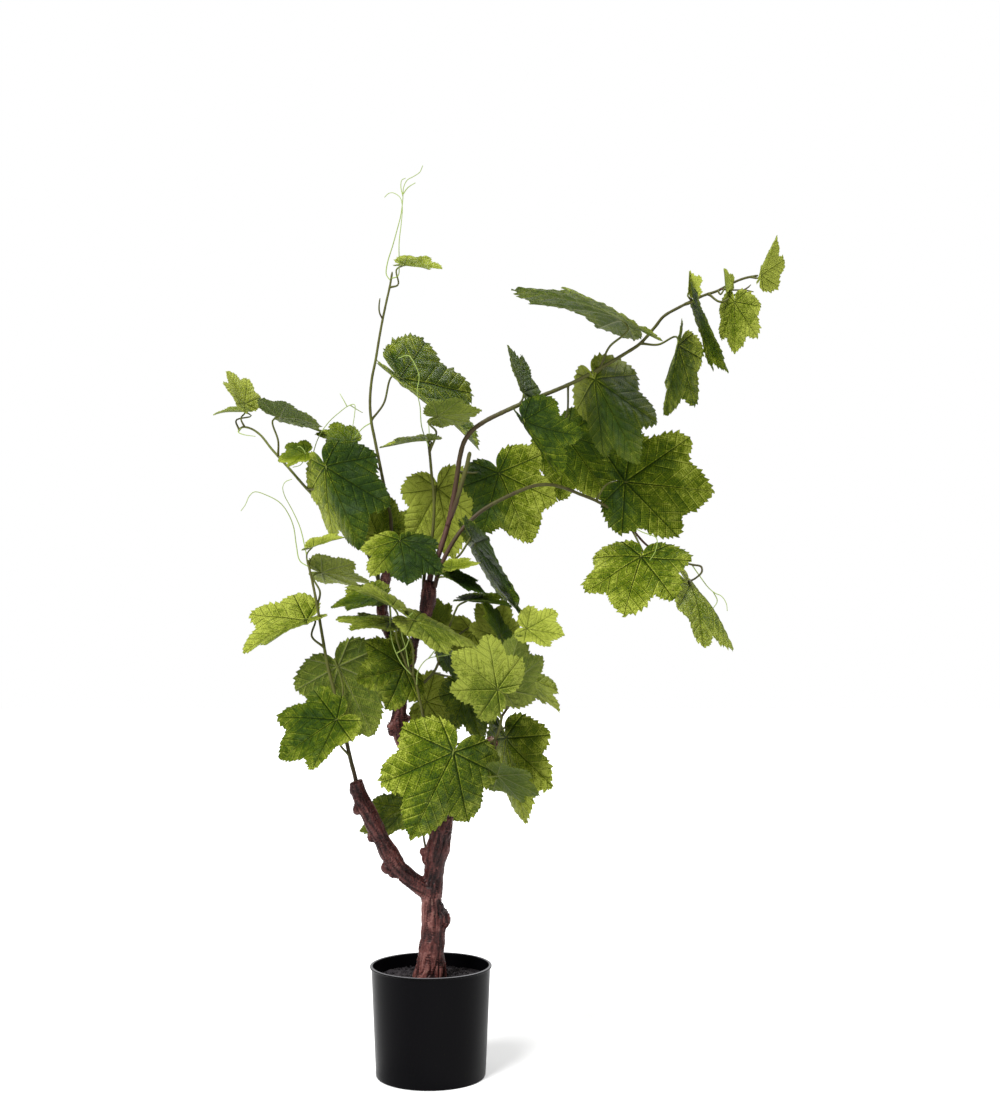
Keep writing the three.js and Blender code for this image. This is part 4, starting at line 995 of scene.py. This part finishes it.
def trunk_piece(bark):
    rough = Piece()
    lines = []
    thickness = []
    for path in TRUNK_LIMBS.values():
        line, radius = spline([place(p) for p in path], TRUNK_STEP, [p[3] for p in path])
        lines.append(line)
        thickness.append(radius)
        rough.add(*tube(line, radius, TRUNK_SIDES))
    for row in KNOTS:
        rough.add(*knot_ball(row))
    made = rough.made("trunk_bark", bark)
    remesh = made.modifiers.new("remesh", "REMESH")
    remesh.mode = "VOXEL"
    remesh.voxel_size = TRUNK_VOXEL * MM
    smooth = made.modifiers.new("smooth", "SMOOTH")
    smooth.iterations = 3
    shape = bpy.data.meshes.new_from_object(made.evaluated_get(bpy.context.evaluated_depsgraph_get()))
    made.modifiers.clear()
    made.data = shape
    points = vectors_of(shape.vertices, "co") / MM
    out = vectors_of(shape.vertex_normals, "vector")
    line = np.vstack(lines)
    run = np.concatenate([TRUNK_STEP * np.arange(len(part)) + LIMB_LENGTH * i for i, part in enumerate(lines)])
    nearest = np.array([((line - p) ** 2).sum(1).argmin() for p in points])
    around = unit(points - line[nearest])
    around[:, 2] += BARK_TWIST * run[nearest]
    crease = np.minimum(1, 5 * np.abs(noises(around, 1.9, 2)))
    flake = np.minimum(1, 5 * np.abs(noises(around * [3.2, 3.2, 2.6] + 40, 1.4, 2)))
    lumps = noises(points, 0.05, 2)
    grain = noises(points * [1, 1, 0.5] + 90, 0.9, 2)
    height = CREASE_DEPTH * crease + FLAKE_DEPTH * flake + LUMP_HEIGHT * lumps
    height = height + GRAIN_HEIGHT * grain - BARK_SINK
    # The relief kept for the bark's colour, where it paints shade in the creases and light on the ridges.
    relief = 0.55 * crease + 0.2 * flake + 0.4 * lumps + 0.2 * grain + 0.02
    moved = (points + out * height[:, None]) * MM
    shape.vertices.foreach_set("co", moved.astype(np.float32).ravel())
    shape.update()
    shape.materials.clear()
    shape.materials.append(bark)
    cut = np.zeros(len(points))
    for part, radius in zip(lines, thickness):
        way = unit(part[-1] - part[-3])
        over = (points - part[-1]) @ way
        beside = np.linalg.norm(points - part[-1] - over[:, None] * way, axis=1)
        cut = np.maximum(cut, np.clip((over + 1.6) / 0.8, 0, 1) * (beside < radius[-1] * 0.72))
    store(shape, "relief", np.column_stack([np.clip(relief, 0, 1), cut, cut]))
    shape.shade_smooth()
    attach(made, "root")
    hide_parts("trunk")


# Pot and soil

def wall_radius(height):
    top = RIM_RADIUS - LIP_OVERHANG
    return BASE_RADIUS + (top - BASE_RADIUS) * (height / (POT_HEIGHT - LIP_HEIGHT))


def turned(profile, sides):
    """A closed turned solid from a profile of (radius, height), whose first and last points lie on the axis."""
    angle = np.arange(sides) * 2 * math.pi / sides
    ring = np.stack([np.cos(angle), np.sin(angle)], 1)
    inner = profile[1:-1]
    verts = [np.column_stack([ring * radius, np.full(sides, height)]) for radius, height in inner]
    verts += [[[0, 0, profile[0][1]]], [[0, 0, profile[-1][1]]]]
    return np.vstack(verts), ring_faces(len(inner), sides)


def arc_points(centre, radius, start, end, count):
    turns = np.radians(np.linspace(start, end, count))
    return [(centre[0] + radius * math.cos(a), centre[1] + radius * math.sin(a)) for a in turns]


def pot_piece(plastic):
    under_lip = POT_HEIGHT - LIP_HEIGHT
    inner = wall_radius(under_lip) - WALL
    walls = np.linspace(6, under_lip - 3, 9)
    profile = [(0, FOOT_RISE), (BASE_RADIUS - FOOT_EDGE[0], FOOT_RISE), (BASE_RADIUS - FOOT_EDGE[1], 0.0)]
    profile += arc_points((BASE_RADIUS - BASE_ROUND, BASE_ROUND), BASE_ROUND, -90, 0, 6)
    profile += [(wall_radius(z), z) for z in walls]
    profile += arc_points((wall_radius(under_lip) + LIP_ROUND, under_lip - 0.6), LIP_ROUND, 180, 90, 4)
    profile += arc_points((RIM_RADIUS - LIP_CURVE, under_lip + 0.9), LIP_CURVE, -90, 0, 4)
    profile += arc_points((RIM_RADIUS - LIP_ROUND, POT_HEIGHT - LIP_ROUND), LIP_ROUND, 0, 90, 5)
    profile += arc_points((inner + LIP_ROUND, POT_HEIGHT - LIP_ROUND), LIP_ROUND, 90, 180, 4)
    profile += [(wall_radius(z) - WALL, z) for z in walls[::-1]]
    profile += [(wall_radius(POT_FLOOR) - WALL, POT_FLOOR), (0, POT_FLOOR)]
    shape = Piece()
    shape.add(*turned(profile, POT_SIDES))
    pot = shape.made("moulded_pot", plastic, sharp=50)
    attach(pot, "root")
    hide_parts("pot")


def soil_piece(earth):
    rng = np.random.default_rng(SEED)
    reach = wall_radius(SOIL_TOP) - WALL - SOIL_GAP
    rings = reach * np.linspace(1, 0, SOIL_RINGS + 1)[:-1]
    low = wall_radius(SOIL_BOTTOM) - WALL - SOIL_GAP
    profile = [(0, SOIL_BOTTOM), (low, SOIL_BOTTOM), *((radius, SOIL_TOP) for radius in rings), (0, SOIL_TOP)]
    verts, faces = turned(profile, SOIL_SECTORS)
    top = verts[:, 2] > SOIL_TOP - 1
    verts[top, 2] += 1.5 * noises(verts[top], 0.05, 2) + 0.9 * noises(verts[top], 0.22, 3)
    shape = Piece()
    shape.add(verts, faces)
    for _ in range(CRUMBS):
        turn = rng.uniform(0, 2 * math.pi)
        radius = math.sqrt(rng.uniform(0.06, 0.97)) * (reach - CRUMB_BED)
        size = rng.uniform(0.5, 1.1) * rng.choice([1, 1, 1.4, 2.2])
        spot = np.array([radius * math.cos(turn), radius * math.sin(turn), SOIL_TOP + rng.uniform(-0.4, 1.4)])
        grain, grain_faces = crumb(rng)
        shape.add(spot + grain * size, grain_faces)
    soil = shape.made("soil_crumbs", earth, sharp=60)
    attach(soil, "root")
    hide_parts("soil")


def crumb(rng):
    """A small uneven grain: an octahedron with shaken corners."""
    corners = np.array([[1, 0, 0], [-1, 0, 0], [0, 1, 0], [0, -1, 0], [0, 0, 1], [0, 0, -1]], float)
    corners = corners * rng.uniform(0.5, 1.3, (6, 1)) + rng.uniform(-0.2, 0.2, (6, 3))
    faces = [[0, 2, 4], [2, 1, 4], [1, 3, 4], [3, 0, 4], [2, 0, 5], [1, 2, 5], [3, 1, 5], [0, 3, 5]]
    turn = np.linalg.qr(rng.normal(size=(3, 3)))[0]
    return corners @ (turn * np.sign(np.linalg.det(turn))), faces


# Floor, light and camera

def floor_piece():
    shape = Piece()
    corners = np.array([[-1, -1, 0], [1, -1, 0], [1, 1, 0], [-1, 1, 0]])
    shape.add(corners * FLOOR_REACH, [[0, 1, 2, 3]])
    shape.made("floor", floor_material())


def sun(name, way, strength):
    light = bpy.data.lights.new(name, "SUN")
    light.angle = math.radians(SUN_WIDTH)
    light.energy = strength
    linked(name, light).rotation_euler = Vector(way).to_track_quat("-Z", "Y").to_euler()


def studio():
    """White all round, a little dimmer as a light than it is behind the plant, with two broad soft suns."""
    scene = bpy.context.scene
    world = bpy.data.worlds.new("white_studio")
    world.use_nodes = True
    tree = world.node_tree
    behind = tree.nodes["Background"]
    behind.inputs["Color"].default_value = (1, 1, 1, 1)
    lighting = tree.nodes.new("ShaderNodeBackground")
    lighting.inputs["Color"].default_value = (1, 1, 1, 1)
    lighting.inputs["Strength"].default_value = WORLD_LIGHT
    chosen = tree.nodes.new("ShaderNodeMixShader")
    tree.links.new(tree.nodes.new("ShaderNodeLightPath").outputs["Is Camera Ray"], chosen.inputs["Fac"])
    tree.links.new(lighting.outputs[0], chosen.inputs[1])
    tree.links.new(behind.outputs[0], chosen.inputs[2])
    tree.links.new(chosen.outputs[0], tree.nodes["World Output"].inputs["Surface"])
    scene.world = world
    sun("key_sun", (0.42, 0.55, -0.75), KEY_LIGHT)
    sun("back_sun", (-0.45, -0.5, -0.8), BACK_LIGHT)
    scene.view_settings.view_transform = "Standard"
    camera = bpy.data.cameras.new("camera")
    camera.sensor_width = SENSOR
    camera.lens = SENSOR * EYE_DISTANCE / (PIXEL * PHOTO_HEIGHT)
    camera.shift_y = VIEW_SHIFT
    scene.camera = linked("camera", camera)
    scene.camera.location = (EYE_X * MM, -EYE_DISTANCE * MM, EYE_Z * MM)
    scene.camera.rotation_euler = (math.radians(90), 0, 0)


studio()
floor_piece()
leaf_paint = leaf_material()
stem_paint = stem_material()
for index, name in enumerate(SHOOTS):
    shoot_pieces(index, name, leaf_paint, stem_paint)
trunk_piece(bark_material())
pot_piece(pot_material())
soil_piece(soil_material())
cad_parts["pot_filler"].data.materials.clear()
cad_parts["pot_filler"].data.materials.append(filler_material())
